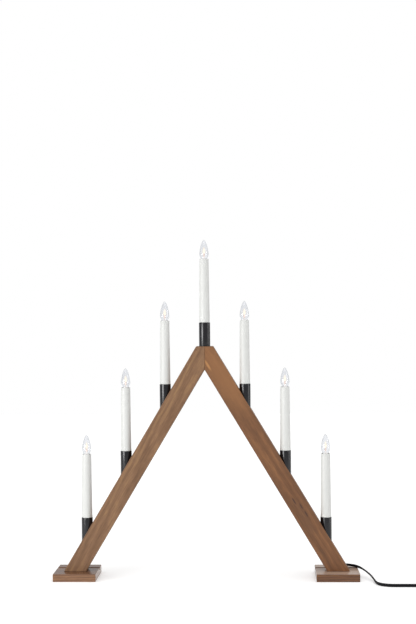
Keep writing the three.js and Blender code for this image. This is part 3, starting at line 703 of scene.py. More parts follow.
def holderProfile(s):
    outside = softened([(s["holderBore"], -s["holderLength"]), (s["holderRadius"], -s["holderLength"]),
                        (s["holderRadius"], 0), (s["holderBore"], 0)], s["holderEdge"])
    return outside + [(s["holderBore"], -s["holderLength"])]


def sleeveProfile(s):
    shaft, foot, top = s["collar"] - s["collarStep"], -s["spigotLength"], s["sleeveHeight"]
    inside = top - s["mouthLip"] - s["mouthSlope"]
    outside = softened([
        (s["wireBore"], foot), (s["spigot"], foot), (s["spigot"], s["rimGap"]), (s["collar"], s["rimGap"]),
        (s["collar"], s["collarHeight"] - s["collarEdge"]), (shaft - s["collarRound"], s["collarHeight"]),
        (shaft, s["collarHeight"] + s["shaftRise"]), (s["sleeveTop"], top), (s["mouth"], top),
        (s["mouth"], top - s["mouthLip"]), (s["sleeveBore"], inside), (s["sleeveBore"], s["ledge"]),
        (s["wireBore"], s["ledge"])], s["lip"])
    return outside + [(s["wireBore"], foot)]


def lampholderProfile(s):
    base, top, socket, floor = s["lampholderBase"], s["lampholderTop"], s["socket"], s["socketFloor"]
    body = s["lampholderRadius"]
    outline = [(0, base), (body, base), (body, top), (socket, top), (socket, floor), (0, floor)]
    return softened(outline, radius=0.25)


def capProfile(s):
    crest, base = s["capRadius"], s["capBase"] + s["contact"] + s["insulator"]
    core, collar = crest - s["threadDepth"], s["capTop"] - s["capCollar"]
    outline = [(core - s["capInset"], base), (core, base + s["capFoot"]), (core, collar),
               (crest, collar + s["collarSlope"]), (crest, s["capTop"]), (0, s["capTop"])]
    return softened(outline, radius=0.2)


def insulatorProfile(s):
    low, wide = s["capBase"] + s["contact"], s["capRadius"] - s["threadDepth"] - s["capInset"]
    high = low + s["insulator"]
    return softened([(0, low), (s["contactRadius"], low), (wide, high), (0, high)], radius=0.3)


def contactProfile(s):
    low, high, wide = s["capBase"], s["capBase"] + s["contact"], s["contactRadius"]
    return softened([(0, low), (wide * 0.7, low), (wide, low + 0.5), (wide, high), (0, high)], radius=0.35)


# Part at the origin, from pieces with the number of their material; the faces of the first material
# are marked, for the tree that sets it
def templateFrom(name, parts, materials):
    points, faces = together(*(part for part, _ in parts))
    numbers = [number for part, number in parts for _ in part[1]]
    template = solidFrom(name, points, faces, materials=materials, numbers=numbers)
    main = template.data.attributes.new("main", "BOOLEAN", "FACE")
    main.data.foreach_set("value", [face.material_index == 0 for face in template.data.polygons])
    return template


# Empty Geometry Nodes tree with named inputs; gives the tree, the sockets of its inputs and its output node
def newTree(name, inputs):
    tree = bpy.data.node_groups.new(name, "GeometryNodeTree")
    for label, kind in inputs.items():
        tree.interface.new_socket(name=label, in_out="INPUT", socket_type="NodeSocket" + kind)
    tree.interface.new_socket(name="Geometry", in_out="OUTPUT", socket_type="NodeSocketGeometry")
    return tree, addNode(tree, "NodeGroupInput").outputs, addNode(tree, "NodeGroupOutput")


# Ends a tree: its instances made real, with their material on all faces or on the chosen ones
def endTree(tree, out, shape, finish, chosen=True):
    real = addNode(tree, "GeometryNodeRealizeInstances", {"Geometry": shape}).outputs[0]
    done = addNode(tree, "GeometryNodeSetMaterial", {
        "Geometry": real, "Selection": chosen, "Material": finish})
    tree.links.new(done.outputs[0], out.inputs[0])
    return tree


# Ends a tree that sets one part at each of its points
def endWithParts(tree, out, points, part, finish, chosen=True, **turning):
    shape = addNode(tree, "GeometryNodeObjectInfo", {"Object": part}).outputs["Geometry"]
    placed = addNode(tree, "GeometryNodeInstanceOnPoints", {"Points": points, "Instance": shape, **turning})
    return endTree(tree, out, placed.outputs[0], finish, chosen)


# Runs a tree with its values and gives the result as a plain mesh object at the origin
def grown(name, tree, values):
    piece = bpy.data.objects.new(name, bpy.data.meshes.new(name))
    scene.collection.objects.link(piece)
    modifier = piece.modifiers.new("shape", "NODES")
    modifier.node_group = tree
    for item in tree.interface.items_tree:
        if item.in_out == "INPUT" and item.name in values:
            modifier[item.identifier] = values[item.name]
    plainMesh(piece)
    return piece


# One part in the place of one candle: its rim follows the slope of the legs, or stands on the apex
def candlePlaceTree():
    tree, given, out = newTree("candle place", {
        "Part": "Object", "Step": "Float", "Pitch": "Float", "Slope": "Float", "Crown": "Float",
        "Rim over slope": "Float", "Apex rim": "Float", "Depth place": "Float", "Finish": "Material"})
    step, pitch, downhill = given["Step"], given["Pitch"], given["Slope"]
    x = addNode(tree, "ShaderNodeMath", {0: step, 1: pitch}, operation="MULTIPLY").outputs[0]
    away = addNode(tree, "ShaderNodeMath", {0: x}, operation="ABSOLUTE").outputs[0]
    drop = addNode(tree, "ShaderNodeMath", {0: away, 1: downhill}, operation="MULTIPLY").outputs[0]
    surface = addNode(tree, "ShaderNodeMath", {0: given["Crown"], 1: drop}, operation="SUBTRACT").outputs[0]
    over = given["Rim over slope"]
    rim = addNode(tree, "ShaderNodeMath", {0: surface, 1: over}, operation="ADD").outputs[0]
    isSide = addNode(tree, "ShaderNodeMath", {0: away, 1: 1e-6}, operation="GREATER_THAN").outputs[0]
    height = addNode(tree, "ShaderNodeMix", {0: isSide, 2: given["Apex rim"], 3: rim}).outputs[0]
    spot = addNode(tree, "ShaderNodeCombineXYZ", {0: x, 1: given["Depth place"], 2: height}).outputs[0]
    point = addNode(tree, "GeometryNodePoints", {"Count": 1, "Position": spot}).outputs[0]
    main = addNode(tree, "GeometryNodeInputNamedAttribute", {"Name": "main"}, data_type="BOOLEAN")
    return endWithParts(tree, out, point, given["Part"], given["Finish"], main.outputs["Attribute"])


# Round wire wound as a spiral about the Z axis, for the cap's thread and for the filament
def spiralTree():
    tree, given, out = newTree("wound wire", {
        "Turns": "Float", "Radius": "Float", "Pitch": "Float", "Wire": "Float", "Low end": "Float",
        "Steps": "Int", "Sides": "Int", "Finish": "Material"})
    height = addNode(tree, "ShaderNodeMath", {0: given["Turns"], 1: given["Pitch"]}, operation="MULTIPLY")
    line = addNode(tree, "GeometryNodeCurveSpiral", {
        "Resolution": given["Steps"], "Rotations": given["Turns"], "Start Radius": given["Radius"],
        "End Radius": given["Radius"], "Height": height.outputs[0]}).outputs[0]
    section = addNode(tree, "GeometryNodeCurvePrimitiveCircle", {
        "Resolution": given["Sides"], "Radius": given["Wire"]}).outputs["Curve"]
    wire = addNode(tree, "GeometryNodeCurveToMesh", {
        "Curve": line, "Profile Curve": section, "Fill Caps": True})
    lift = addNode(tree, "ShaderNodeCombineXYZ", {2: given["Low end"]}).outputs[0]
    placed = addNode(tree, "GeometryNodeTransform", {"Geometry": wire.outputs[0], "Translation": lift})
    return endTree(tree, out, placed.outputs[0], given["Finish"])


# Points and faces of a mesh object in millimetres, for a template; the object goes
def taken(piece):
    part = ([tuple(v.co / mm) for v in piece.data.vertices], [list(f.vertices) for f in piece.data.polygons])
    bpy.data.objects.remove(piece)
    return part


# Tube around a line of points in millimetres, with one radius or one for each point
def tubeAlong(line, radius, sides=12):
    line = np.array(line, float)
    along = headings(line)
    side = np.cross(along[0], (0.31, 0.95, 0.05))  # any direction that no tube here starts in
    points, radii = [], radius if hasattr(radius, "__len__") else [radius] * len(line)
    for spot, forward, reach in zip(line, along, radii):
        side = side - forward * (side @ forward)
        side /= np.linalg.norm(side)
        other = np.cross(forward, side)
        for k in range(sides):
            angle = 2 * math.pi * k / sides
            points.append(tuple(spot + reach * (side * math.cos(angle) + other * math.sin(angle))))
    return points, tubeFaces(len(line), sides)


# Powder-coated steel tube, satin black: a soft highlight from each window, with a faint orange peel
def powderCoat():
    material, tree, shader = newMaterial("powder-coated steel, satin black", {"Specular IOR Level": 0.46})
    peel, cloud = noiseIn(tree, (1.1, 1.1, 1.1), 2.0), noiseIn(tree, (14, 14, 14), 2.0)
    finished(tree, shader, (cloud, ("#0c0c10", "#131217")), (cloud, 0.2, 0.25), (peel, 0.03, 0.05))
    return material


# Polypropylene, injection moulded, off-white: even colour along the flow and a soft sheen
def sleevePlastic():
    material, tree, shader = newMaterial("moulded polypropylene, white")
    flow, grit = noiseIn(tree, (9, 9, 45), 2.0), noiseIn(tree, (0.8, 0.8, 0.8), 1.0)
    finished(tree, shader, (flow, ("#dddedb", "#e3e4e1")), (grit, 0.39, 0.43), (grit, 0.04, 0.04))
    return material


# Moulded plastic, black: fine spark-eroded grain from the mould
def blackPlastic(name, colours, roughness, grain):
    material, tree, shader = newMaterial(name)
    grit, cloud = noiseIn(tree, (grain, grain, grain), 2.0), noiseIn(tree, (7, 7, 7), 1.0)
    finished(tree, shader, (cloud, colours), (grit, roughness - 0.06, roughness + 0.06), (grit, 0.25, 0.05))
    return material


# Metal with fine drawing or rolling lines across its length
def lathedMetal(name, colours, roughness, lineWidth):
    material, tree, shader = newMaterial(name, {"Metallic": 1.0})
    mark = noiseIn(tree, (20 * lineWidth, 20 * lineWidth, lineWidth), 2.0)
    finished(tree, shader, (mark, colours), (mark, roughness - 0.08, roughness + 0.08))
    return material


# Blown soda-lime glass: clear in the middle, grey where the wall is seen edge on
def blownGlass():
    material, tree, shader = newMaterial("blown soda-lime glass, clear", {
        "Roughness": 0.03, "IOR": 1.5, "Transmission Weight": 1.0})
    rim = addNode(tree, "ShaderNodeLayerWeight", {"Blend": 0.5}).outputs["Facing"]
    tint = addNode(tree, "ShaderNodeValToRGB", {"Fac": rim})
    setStops(tint.color_ramp, [(0.3, "#f1f2f4"), (1.0, "#c8ccd1")])
    tree.links.new(tint.outputs[0], shader.inputs["Base Color"])
    finished(tree, shader, relief=(noiseIn(tree, (6, 6, 6), 1.0), 0.05, 0.1))
    return material


# Painted glare round the filament: a shell that glows warm white and fades at its edge, as a lit lamp looks
def paintedGlareShell():
    material, tree, shader = newMaterial("glow of the lit filament", {
        "Base Color": linear("#000000"), "Specular IOR Level": 0.0, "Emission Color": linear("#fff5e6"),
        "Emission Strength": 1.22})
    rim = addNode(tree, "ShaderNodeLayerWeight", {"Blend": 0.3}).outputs["Facing"]
    fade = addNode(tree, "ShaderNodeMapRange", {
        "Value": rim, "From Max": 0.8, "To Min": 0.95, "To Max": 0.0}, interpolation_type="SMOOTHSTEP")
    tree.links.new(fade.outputs[0], shader.inputs["Alpha"])
    return material


# Tungsten wire at about 2400 K: warm yellow, a little uneven from turn to turn
def glowingWire():
    material, tree, shader = newMaterial("lit tungsten filament", {
        "Base Color": linear("#ffdcaa"), "Emission Strength": 1.6})
    finished(tree, shader, (noiseIn(tree, (2, 2, 2), 1.0), ("#ffd9a0", "#ffeac8")), tinted="Emission Color")
    return material


# Lead glass, whitish where it is drawn out and pinkish at the bead that holds the wires; a weak emission
# paints on it, as painted light, the light of the filament inside the bulb
def stemGlass(name, colours):
    material, tree, shader = newMaterial(name, {
        "Roughness": 0.15, "Emission Color": linear(colours[1]), "Emission Strength": 0.35})
    finished(tree, shader, (noiseIn(tree, (3, 3, 3), 1.0), colours))
    return material


coatedSteel, whitePlastic, clearGlass = powderCoat(), sleevePlastic(), blownGlass()
phenolic = blackPlastic("moulded phenolic, black", ("#141414", "#1d1c1c"), 0.45, 0.6)
softBlack = blackPlastic("moulded soft PVC, black", ("#151516", "#1e1e20"), 0.5, 0.7)
brass = lathedMetal("rolled brass, lacquered", ("#b8924f", "#d3b06c"), 0.3, 0.35)
solder = lathedMetal("tin solder", ("#a9a9a6", "#c9c9c6"), 0.4, 0.6)
nickel = lathedMetal("nickel-plated brass pin", ("#bdbab2", "#d6d3cb"), 0.22, 0.3)
zinc = lathedMetal("zinc-plated steel", ("#a3a6a8", "#c2c4c6"), 0.32, 0.4)
vitrite = blackPlastic("black cap glass", ("#0d0d10", "#15151a"), 0.14, 2.0)
glareShell, hotWire = paintedGlareShell(), glowingWire()
bead = stemGlass("pressed glass bead", ("#e6ccc0", "#efdcd2"))
drawnStem = stemGlass("drawn glass stem", ("#ece6e2", "#f6f2ee"))


# Brass shell with its helical thread, the black insulator and the solder contact
def capParts(s, woundWire):
    thread = taken(grown("thread", woundWire, {
        "Turns": float(s["threadTurns"]), "Radius": (s["capRadius"] - s["threadDepth"]) * mm,
        "Pitch": s["threadPitch"] * mm, "Wire": s["threadDepth"] * mm, "Steps": 48, "Sides": 10,
        "Low end": (s["capBase"] + s["contact"] + s["insulator"] + s["threadRise"]) * mm}))
    return [(turned(capProfile(s), s["sides"]), 0), (thread, 0), (turned(insulatorProfile(s), s["sides"]), 1),
            (turned(contactProfile(s), s["sides"]), 2)]


# Glass bead on its stem, two holding wires, the coiled filament and the painted glare round it
def glowParts(s, woundWire):
    filament = taken(grown("filament", woundWire, {
        "Turns": float(s["coilTurns"]), "Radius": s["coilRadius"] * mm, "Pitch": s["coilPitch"] * mm,
        "Wire": s["coilWire"] * mm, "Steps": 14, "Sides": 6, "Low end": s["coilLow"] * mm}))
    coilTop = s["coilLow"] + s["coilTurns"] * s["coilPitch"]
    r, wire, root = s["coilRadius"], s["holdWire"], s["holdLow"]
    shortHold = tubeAlong([(r * 0.9, 0, root), (r * 1.1, 0, root + 3), (r, 0, s["coilLow"])], wire, 8)
    longHold = tubeAlong([(-r * 0.9, 0, root), (-r * 2.1, 0, root + 4.6), (-r * 2.1, 0, coilTop - 1.2),
                          (-r, 0, coilTop)], wire, 8)
    wide, flare, seal = s["stemRadius"], s["flareRadius"], s["neckBase"] + s["sealHeight"]
    stem = [(0, seal), (flare, seal)] + [(flare * share, height) for share, height in s["flareOutline"]]
    stem += [(wide * share, height) for share, height in s["stemOutline"]]
    drop = [(wide * share, height) for share, height in s["beadOutline"]]
    low, tall = s["glowLow"], s["glowTop"] - s["glowLow"]
    glareOutline = [(s["glowRadius"] * share, low + tall * rise) for share, rise in s["glowOutline"]]
    return [(turned(softened(drop, 0.5), 24), 0), (shortHold, 1), (longHold, 1), (filament, 2),
            (turned(softened(glareOutline, 1.5, 4), 32), 3), (turned(softened(stem, 0.4), 24), 4)]


# The parts of one candle: body, node and slot, materials and pieces with the number of theirs
def candleParts(s):
    sides, woundWire = s["sides"], spiralTree()
    envelope = glassOutline(s, s["wall"], 20)[::-1] + glassOutline(s, 0, 20)
    return {
        "holder_tube": ("frame", "holder", "black_holder", [coatedSteel],
                        [(turned(holderProfile(s), sides), 0)]),
        "sleeve_shell": ("candle", "candle_sleeve", "white_sleeve", [whitePlastic],
                         [(turned(sleeveProfile(s), sides), 0)]),
        "lampholder_body": ("candle", "lampholder", "black_plastic", [phenolic],
                            [(turned(lampholderProfile(s), sides), 0)]),
        "screw_cap": ("bulb", "bulb_cap", "cap_brass", [brass, vitrite, solder], capParts(s, woundWire)),
        "glass_envelope": ("bulb", "bulb_glass", "clear_glass", [clearGlass], [(turned(envelope, sides), 0)]),
        "glow_wire": ("bulb_rise", "bulb_filament", "lit_filament", [bead, solder, hotWire, glareShell, drawnStem],
                      glowParts(s, woundWire)),
    }


def makeCandles(s):
    onArch, parts = candlePlaceTree(), candleParts(s)
    templates = {name: templateFrom(name, pieces, materials)
                 for name, (*_, materials, pieces) in parts.items()}
    place = {
        "Pitch": frameSizes["candlePitch"] * mm, "Slope": slope, "Crown": frameSizes["crown"] * mm,
        "Rim over slope": frameSizes["rimAboveSlope"] * mm, "Apex rim": frameSizes["apexRim"] * mm,
        "Depth place": frameSizes["legCentreY"] * mm}
    for number in range(1, 8):
        for name, (body, node, slotName, materials, _) in parts.items():
            piece = grown(f"{name}_{number}", onArch, dict(
                place, Part=templates[name], Step=float(number - 4), Finish=materials[0]))
            settle(piece, body if body == "frame" else f"{body}_{number}", slotName, [f"{node}_{number}"])
    for template in templates.values():
        bpy.data.objects.remove(template)


makeCandles(candleSizes)
print("seven candles made")

# Fittings of the lead: right-angle strain relief behind the right leg, strap round the coil, flat plug
fittingSizes = {
    "gap": 0.3, "insert": 7.5, "body": 3.8, "flange": 4.8, "flangeThickness": 1.6, "standOff": 6.7,
    "elbow": 3.4, "tail": 22, "tailEnd": 3.1, "tailDrop": 4.1, "tailBack": 2.9, "tailOver": 0.25,
    "tailTip": 2.0, "tipSlope": 0.2, "tipRound": 0.05, "step": 0.15, "ribCount": 8, "ribWidth": 1.5,
    "ribStep": 2.35, "ribStart": 4.2, "ribDepth": 0.7, "ribRoot": 0.6, "ribEnd": 1.4,
    "strapWall": 0.8, "strapWidth": 4.0, "strapEdge": 0.3, "strapBend": 0.5,
    "plugLength": 34, "plugWidth": 35, "plugNose": 11, "plugNoseLength": 8.5, "plugShoulder": 22.5,
    "plugThickness": 13.7, "plugBevel": 1.2,
    "plugCorner": [(1.0, 0.9), (0.25, 1.3), (0, 2.2)],  # back from the front and in from the side
    "gripRibRadius": 0.55, "gripRibHeight": 7.4, "gripRibSunk": 0.25,
    "pinRadius": 2.0, "pinLength": 19, "pinSleeve": 10, "pinSpacing": 19, "pinStep": 0.12, "pinLap": 0.05,
}


# Ribs set along a line, each turned to face along it, with sizes that change evenly to the last one
def ribTree():
    tree, given, out = newTree("ribs along a tail", {
        "Rib": "Object", "Start": "Vector", "End": "Vector", "Count": "Int", "Last size": "Float",
        "Finish": "Material"})
    line = addNode(tree, "GeometryNodeCurvePrimitiveLine", {
        "Start": given["Start"], "End": given["End"]}).outputs[0]
    spots = addNode(tree, "GeometryNodeCurveToPoints", {
        "Curve": line, "Count": given["Count"]}, mode="COUNT")
    index = addNode(tree, "GeometryNodeInputIndex").outputs[0]
    last = addNode(tree, "ShaderNodeMath", {0: given["Count"], 1: 1.0}, operation="SUBTRACT").outputs[0]
    share = addNode(tree, "ShaderNodeMath", {0: index, 1: last}, operation="DIVIDE").outputs[0]
    size = addNode(tree, "ShaderNodeMapRange", {
        "Value": share, "To Min": 1.0, "To Max": given["Last size"]}).outputs[0]
    turn = addNode(tree, "FunctionNodeAlignRotationToVector", {
        "Vector": spots.outputs["Tangent"]}, axis="Z").outputs[0]
    across = addNode(tree, "ShaderNodeCombineXYZ", {0: size, 1: size, 2: 1.0}).outputs[0]
    return endWithParts(tree, out, spots.outputs["Points"], given["Rib"], given["Finish"],
                        Rotation=turn, Scale=across)


# Stud in the leg with its flange, a quarter bend, and a tail whose ribs grow smaller
def makeGrip(s):
    drop, back = math.radians(s["tailDrop"]), math.radians(s["tailBack"])
    along = np.array([math.cos(drop) * math.cos(back), math.cos(drop) * math.sin(back), -math.sin(drop)])
    inward, seat = np.array([0, -1, 0]), np.array([frameSizes["gripX"], legBack, frameSizes["gripZ"]])
    corner = seat - inward * s["standOff"]
    bendStart, bendEnd = corner + inward * s["elbow"], corner + along * s["elbow"]
    path = [seat - inward * s["gap"], bendStart]
    path += [bendStart * (1 - t) ** 2 + corner * 2 * t * (1 - t) + bendEnd * t ** 2
             for t in np.linspace(0.12, 1, 9)]
    first, end = s["ribStart"], s["tail"] + s["tailOver"]
    tip = end - s["tailTip"]
    path += [corner + along * x for x in (first, first + s["step"], tip - s["tipSlope"], tip, end)]
    core, last = s["body"] - s["ribDepth"], s["tailEnd"]
    radii = [s["body"]] * (len(path) - 4) + [core, last - s["ribRoot"], last, last - s["tipRound"]]
    low, high = s["gap"], s["gap"] + s["flangeThickness"]
    stud = softened([(0, -s["insert"]), (s["body"], -s["insert"]), (s["body"], low), (s["flange"], low),
                     (s["flange"], high), (s["body"], high), (0, high)], 0.35)
    half, inner = s["ribWidth"] / 2, core - s["ribRoot"]
    ring = softened([(inner, -half), (s["body"], -half), (s["body"], half), (inner, half)], 0.3)
    rib = templateFrom("rib", [(turned(ring + ring[:1], 36), 0)], [softBlack])
    row = taken(grown("grip ribs", ribTree(), {
        "Rib": rib, "Start": tuple((corner + along * (first + s["ribStep"])) * mm),
        "End": tuple((corner + along * (first + s["ribStep"] * s["ribCount"] - s["ribEnd"])) * mm),
        "Count": s["ribCount"] - 1, "Last size": (last + s["step"]) / s["body"], "Finish": softBlack}))
    bpy.data.objects.remove(rib)
    studPart = moved(turned(stud, 48), Matrix.Rotation(-math.pi / 2, 3, "X"), seat)
    grip = solidFrom("lead_strain_relief", *together(tubeAlong(path, radii, 36), studPart, row))
    settle(grip, "frame", "black_plastic", ["cord_grip"], softBlack)


# Flat strap drawn round all turns of the coil at one place
def makeStrap(s):
    lead, wall, steps = leadSizes, s["strapWall"], 6
    thick, wide = lead["thickness"] / 2 + s["gap"], lead["width"] / 2 + s["gap"]
    inner = lead["outerRadius"] - lead["turnPitch"] * lead["turnsPerLayer"] - thick
    outer, centreY = lead["outerRadius"] + thick, lead["frontY"] + lead["outerRadius"]
    low, high = lead["baseZ"] - wide, lead["baseZ"] + lead["layerPitch"] + wide

    # rectangle round the turns, with round corners
    def loop(reach):
        radius, points = s["strapBend"] + reach, []
        corners = [(inner - reach, low - reach), (outer + reach, low - reach), (outer + reach, high + reach),
                   (inner - reach, high + reach)]
        for k, (y, z) in enumerate(corners):
            cy, cz = y + (radius if k in (0, 3) else -radius), z + (radius if k in (0, 1) else -radius)
            for a in range(steps):
                angle = math.radians(180 + 90 * k + 90 * a / (steps - 1))
                points.append((cy + radius * math.cos(angle), cz + radius * math.sin(angle)))
        return points

    half, edge = s["strapWidth"] / 2, s["strapEdge"]
    section = [(0, -half + edge), (edge, -half), (wall - edge, -half), (wall, -half + edge),
               (wall, half - edge), (wall - edge, half), (edge, half), (0, half - edge)]
    points, faces, count = [], [], 4 * steps
    for ring, (reach, x) in enumerate(section):
        points += [(lead["coilX"] + x, centreY + y, z) for y, z in loop(reach)]
        here, after = ring * count, (ring + 1) % len(section) * count
        for k in range(count):
            m = (k + 1) % count
            faces.append([here + k, here + m, after + m, after + k])
    strap = solidFrom("coil_strap", points, faces, 50)
    return settle(strap, "frame", "black_plastic", ["cord_tie"], softBlack)


# Flat plug: its outline in plan swept round its thickness with rounded rims, and finger ribs on its sides
def makePlug(s):
    bevel, tall = s["plugBevel"], s["plugThickness"] / 2
    half, nose, front = s["plugWidth"] / 2 - bevel, s["plugNose"] / 2 - bevel, s["plugLength"] - bevel
    neck, shoulder = s["plugNoseLength"], s["plugShoulder"]
    side = [(bevel, nose), (neck * 0.5, nose)]
    for t in np.linspace(0, 1, 13):
        side.append((neck * (1 - t) ** 2 + (neck + shoulder) * t * (1 - t) + shoulder * t ** 2,
                     nose * (1 - t) ** 2 + half * 2 * t * (1 - t) + half * t ** 2))
    side += [(front - back, half - inset) for back, inset in s["plugCorner"]]
    flat = np.array([(x, -y) for x, y in side] + side[::-1])
    onward = np.roll(flat, -1, axis=0) - np.roll(flat, 1, axis=0)
    outward = np.column_stack([onward[:, 1], -onward[:, 0]])
    outward /= np.linalg.norm(outward, axis=1)[:, None]
    levels = [(bevel * math.sin(a), bevel * (1 - math.cos(a)) - tall) for a in np.linspace(0, math.pi / 2, 5)]
    levels += [(reach, -z) for reach, z in reversed(levels)]
    origin = np.array([leadSizes["plugBack"], leadSizes["frontY"], leadSizes["plugZ"]])
    points = [tuple(origin + (x, y, z)) for reach, z in levels for x, y in flat + outward * reach]
    radius, rise = s["gripRibRadius"], s["gripRibHeight"] / 2
    rod = turned(softened([(0, -rise), (radius, -rise), (radius, rise), (0, rise)], 0.4), 16)
    rods = [moved(rod, None, Vector(origin + (x, sign * (y + bevel - s["gripRibSunk"]), 0)))
            for sign in (-1, 1) for x, y in side[4:14:2]]
    plug = solidFrom("plug_shell", *together((points, tubeFaces(len(levels), len(flat))), *rods))
    return settle(plug, "frame", "black_plastic", ["plug_body"], softBlack)


# Pin with a rounded end, in a plastic jacket where it leaves the plug
def makePin(name, node, side, s):
    r, length, sleeve, jacket = s["pinRadius"], s["pinLength"], s["pinSleeve"], s["pinRadius"] - s["pinStep"]
    lap = sleeve + s["pinLap"]
    bare = softened([(0, sleeve), (r, sleeve), (r, length - r), (r * 0.5, length), (0, length)], 0.9, 4)
    cover = softened([(0, 0), (jacket, 0), (jacket, lap), (0, lap)], 0.1)
    place = (leadSizes["plugBack"] + s["plugLength"] + s["gap"],
             leadSizes["frontY"] + side * s["pinSpacing"] / 2, leadSizes["plugZ"])
    metal, plastic = (moved(turned(profile, 32), Matrix.Rotation(math.pi / 2, 3, "Y"), place)
                      for profile in (bare, cover))
    pin = solidFrom(name, *together(metal, plastic), materials=[nickel, softBlack],
                    numbers=[0] * len(metal[1]) + [1] * len(plastic[1]))
    return settle(pin, "frame", "pin_steel", [node])


# Countersunk wood screws from below, with a cross recess: the same screw at each place
def screwTree():
    tree, given, out = newTree("foot screws", {
        "Screw": "Object", "Across": "Float", "Depth place": "Float", "Finish": "Material"})
    left = addNode(tree, "ShaderNodeMath", {0: given["Across"], 1: -1.0}, operation="MULTIPLY").outputs[0]
    start, end = (addNode(tree, "ShaderNodeCombineXYZ", {0: x, 1: given["Depth place"]}).outputs[0]
                  for x in (left, given["Across"]))
    line = addNode(tree, "GeometryNodeMeshLine", {
        "Count": 2, "Start Location": start, "Offset": end}, mode="END_POINTS").outputs[0]
    return endWithParts(tree, out, line, given["Screw"], given["Finish"])


def makeScrews(s):
    head, shank = s["screwHead"], s["screwRadius"]
    profile = softened([(0, s["screwRecess"]), (head, s["screwRecess"]), (shank, s["screwNeck"]),
                        (shank, s["screwTop"] - s["screwPoint"]), (0, s["screwTop"])], 0.25)
    wide, narrow, half = s["slotReach"], s["slotFloor"], s["slotWidth"] / 2
    low, high = -s["overcut"], s["slotDepth"]
    slot = prism([(-wide, low), (wide, low), (narrow, high), (-narrow, high)], -half, half)
    slots = [slot, moved(slot, Matrix.Rotation(math.pi / 2, 3, "Z"))]
    screw = carved("screw", turned(profile, 48), slots, 0, lambda x, y, z: False)
    both = grown("foot_screw_pair", screwTree(), {
        "Screw": screw, "Across": s["screwX"] * mm, "Depth place": s["legCentreY"] * mm, "Finish": zinc})
    bpy.data.objects.remove(screw)
    settle(both, "frame", "screw_steel", ["left_foot_screw", "right_foot_screw"])


# PVC sheath, extruded over two cores: black and nearly matt, with a fine grain
def sheathPlastic():
    material, tree, shader = newMaterial("extruded PVC sheath, black", {"Specular IOR Level": 0.15})
    cloud, grit = noiseIn(tree, (5, 5, 5), 2.0), noiseIn(tree, (0.5, 0.5, 0.5), 1.0)
    finished(tree, shader, (cloud, ("#09090c", "#0f0f13")), (cloud, 0.48, 0.58), (grit, 0.04, 0.04))
    return material


makeGrip(fittingSizes)
strap, plug = makeStrap(fittingSizes), makePlug(fittingSizes)
pins = [makePin("plug_pin_front", "plug_pin_left", -1, fittingSizes),
        makePin("plug_pin_rear", "plug_pin_right", 1, fittingSizes)]
makeScrews(frameSizes)
settle(mainsLead, "frame", "black_cable", ["mains_cord", "cord_coil", "plug_lead"], sheathPlastic())
print("lead fittings and screws made")

# Inner pieces that only show when the candlestick is taken apart keep their solids
beech = stainedWood("turned beech dowel", dict(
    leftLegLook, turn=0, shift=(0, 3.8, -334), pore="#a9835a", ringSpacing=2.0, wander=0.5,
    stain=[(0.3, "#b8946a"), (0.43, "#c5a178"), (0.53, "#cfae86"), (0.66, "#dabb94")]))
for node, finish in (("apex_dowel", beech), ("wiring", sleevePlastic())):
    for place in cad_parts[node].material_slots:
        place.material = finish

# Floor, backdrop and light, in metres, watts and degrees; a softbox has its azimuth from the front,
# distance, height, width, own height and power
stageSizes = {
    "floor": 6.0, "floorGlow": 0.29, "worldLight": 0.41, "mirrorShare": 0.32, "aimHeight": 0.25,
    "softboxes": {
        "left softbox": (-47, 3.2, 0.52, 1.6, 0.65, 42), "right softbox": (82, 3.2, 0.73, 1.0, 1.45, 14)},
    "skyPower": 1.5, "skySpread": 80, "skyTilt": 14,
}


# How far a ray shows the white surroundings: in full where the camera or the glass looks at them, by
# a share in reflections, and not where they light the part
def shownShare(tree, mirrorShare):
    path = addNode(tree, "ShaderNodeLightPath").outputs
    direct = addNode(tree, "ShaderNodeMath", {
        0: path["Is Camera Ray"], 1: path["Is Transmission Ray"]}, operation="MAXIMUM").outputs[0]
    mirrored = addNode(tree, "ShaderNodeMath", {
        0: path["Is Glossy Ray"], 1: mirrorShare}, operation="MULTIPLY").outputs[0]
    return addNode(tree, "ShaderNodeMath", {0: direct, 1: mirrored}, operation="MAXIMUM").outputs[0]


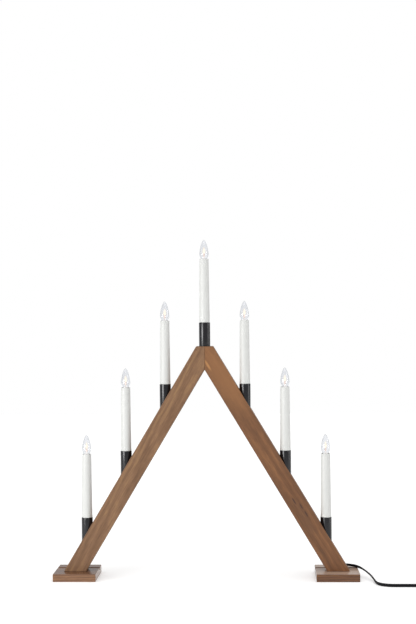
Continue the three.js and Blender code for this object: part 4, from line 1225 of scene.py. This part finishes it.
def makeStage(sizes):
    material, tree, shader = newMaterial("pale paper floor", {
        "Base Color": linear("#f2f2f2"), "Roughness": 0.9})
    strength = addNode(tree, "ShaderNodeMath", {
        0: shownShare(tree, 1.0), 1: sizes["floorGlow"]}, operation="MULTIPLY").outputs[0]
    glow = addNode(tree, "ShaderNodeEmission", {"Strength": strength}).outputs[0]
    both = addNode(tree, "ShaderNodeAddShader", {0: shader.outputs[0], 1: glow})
    tree.links.new(both.outputs[0], tree.nodes["Material Output"].inputs["Surface"])
    half = sizes["floor"] / 2 / mm
    floor = solidFrom("floor", [(-half, -half, 0), (half, -half, 0), (half, half, 0), (-half, half, 0)],
                      [[0, 1, 2, 3]], materials=[material])
    world = bpy.data.worlds.new("studio")
    scene.world = world
    world.use_nodes = True
    tree = world.node_tree
    strength = addNode(tree, "ShaderNodeMapRange", {
        "Value": shownShare(tree, sizes["mirrorShare"]), "To Min": sizes["worldLight"], "To Max": 1.0})
    background = tree.nodes["Background"]
    background.inputs["Color"].default_value = (1, 1, 1, 1)
    tree.links.new(strength.outputs[0], background.inputs["Strength"])


def addLight(name, azimuth, distance, height, width, tall, power):
    data = bpy.data.lights.new(name, "AREA")
    data.shape, data.size, data.size_y, data.energy = "RECTANGLE", width, tall, power
    light = bpy.data.objects.new(name, data)
    angle = math.radians(azimuth)
    place = Vector((distance * math.sin(angle), -distance * math.cos(angle), height))
    aim = Vector((0, 0, stageSizes["aimHeight"])) - place
    light.matrix_world = Matrix.Translation(place) @ aim.to_track_quat("-Z", "Y").to_matrix().to_4x4()
    scene.collection.objects.link(light)


# Broad, even light from overhead, as from a white ceiling
def addSky(sizes):
    data = bpy.data.lights.new("ceiling", "SUN")
    data.energy, data.angle = sizes["skyPower"], math.radians(sizes["skySpread"])
    light = bpy.data.objects.new("ceiling", data)
    light.rotation_euler = (math.radians(sizes["skyTilt"]), 0, 0)
    scene.collection.objects.link(light)


makeStage(stageSizes)
for name, values in stageSizes["softboxes"].items():
    addLight(name, *values)
addSky(stageSizes)
print("floor and light set")
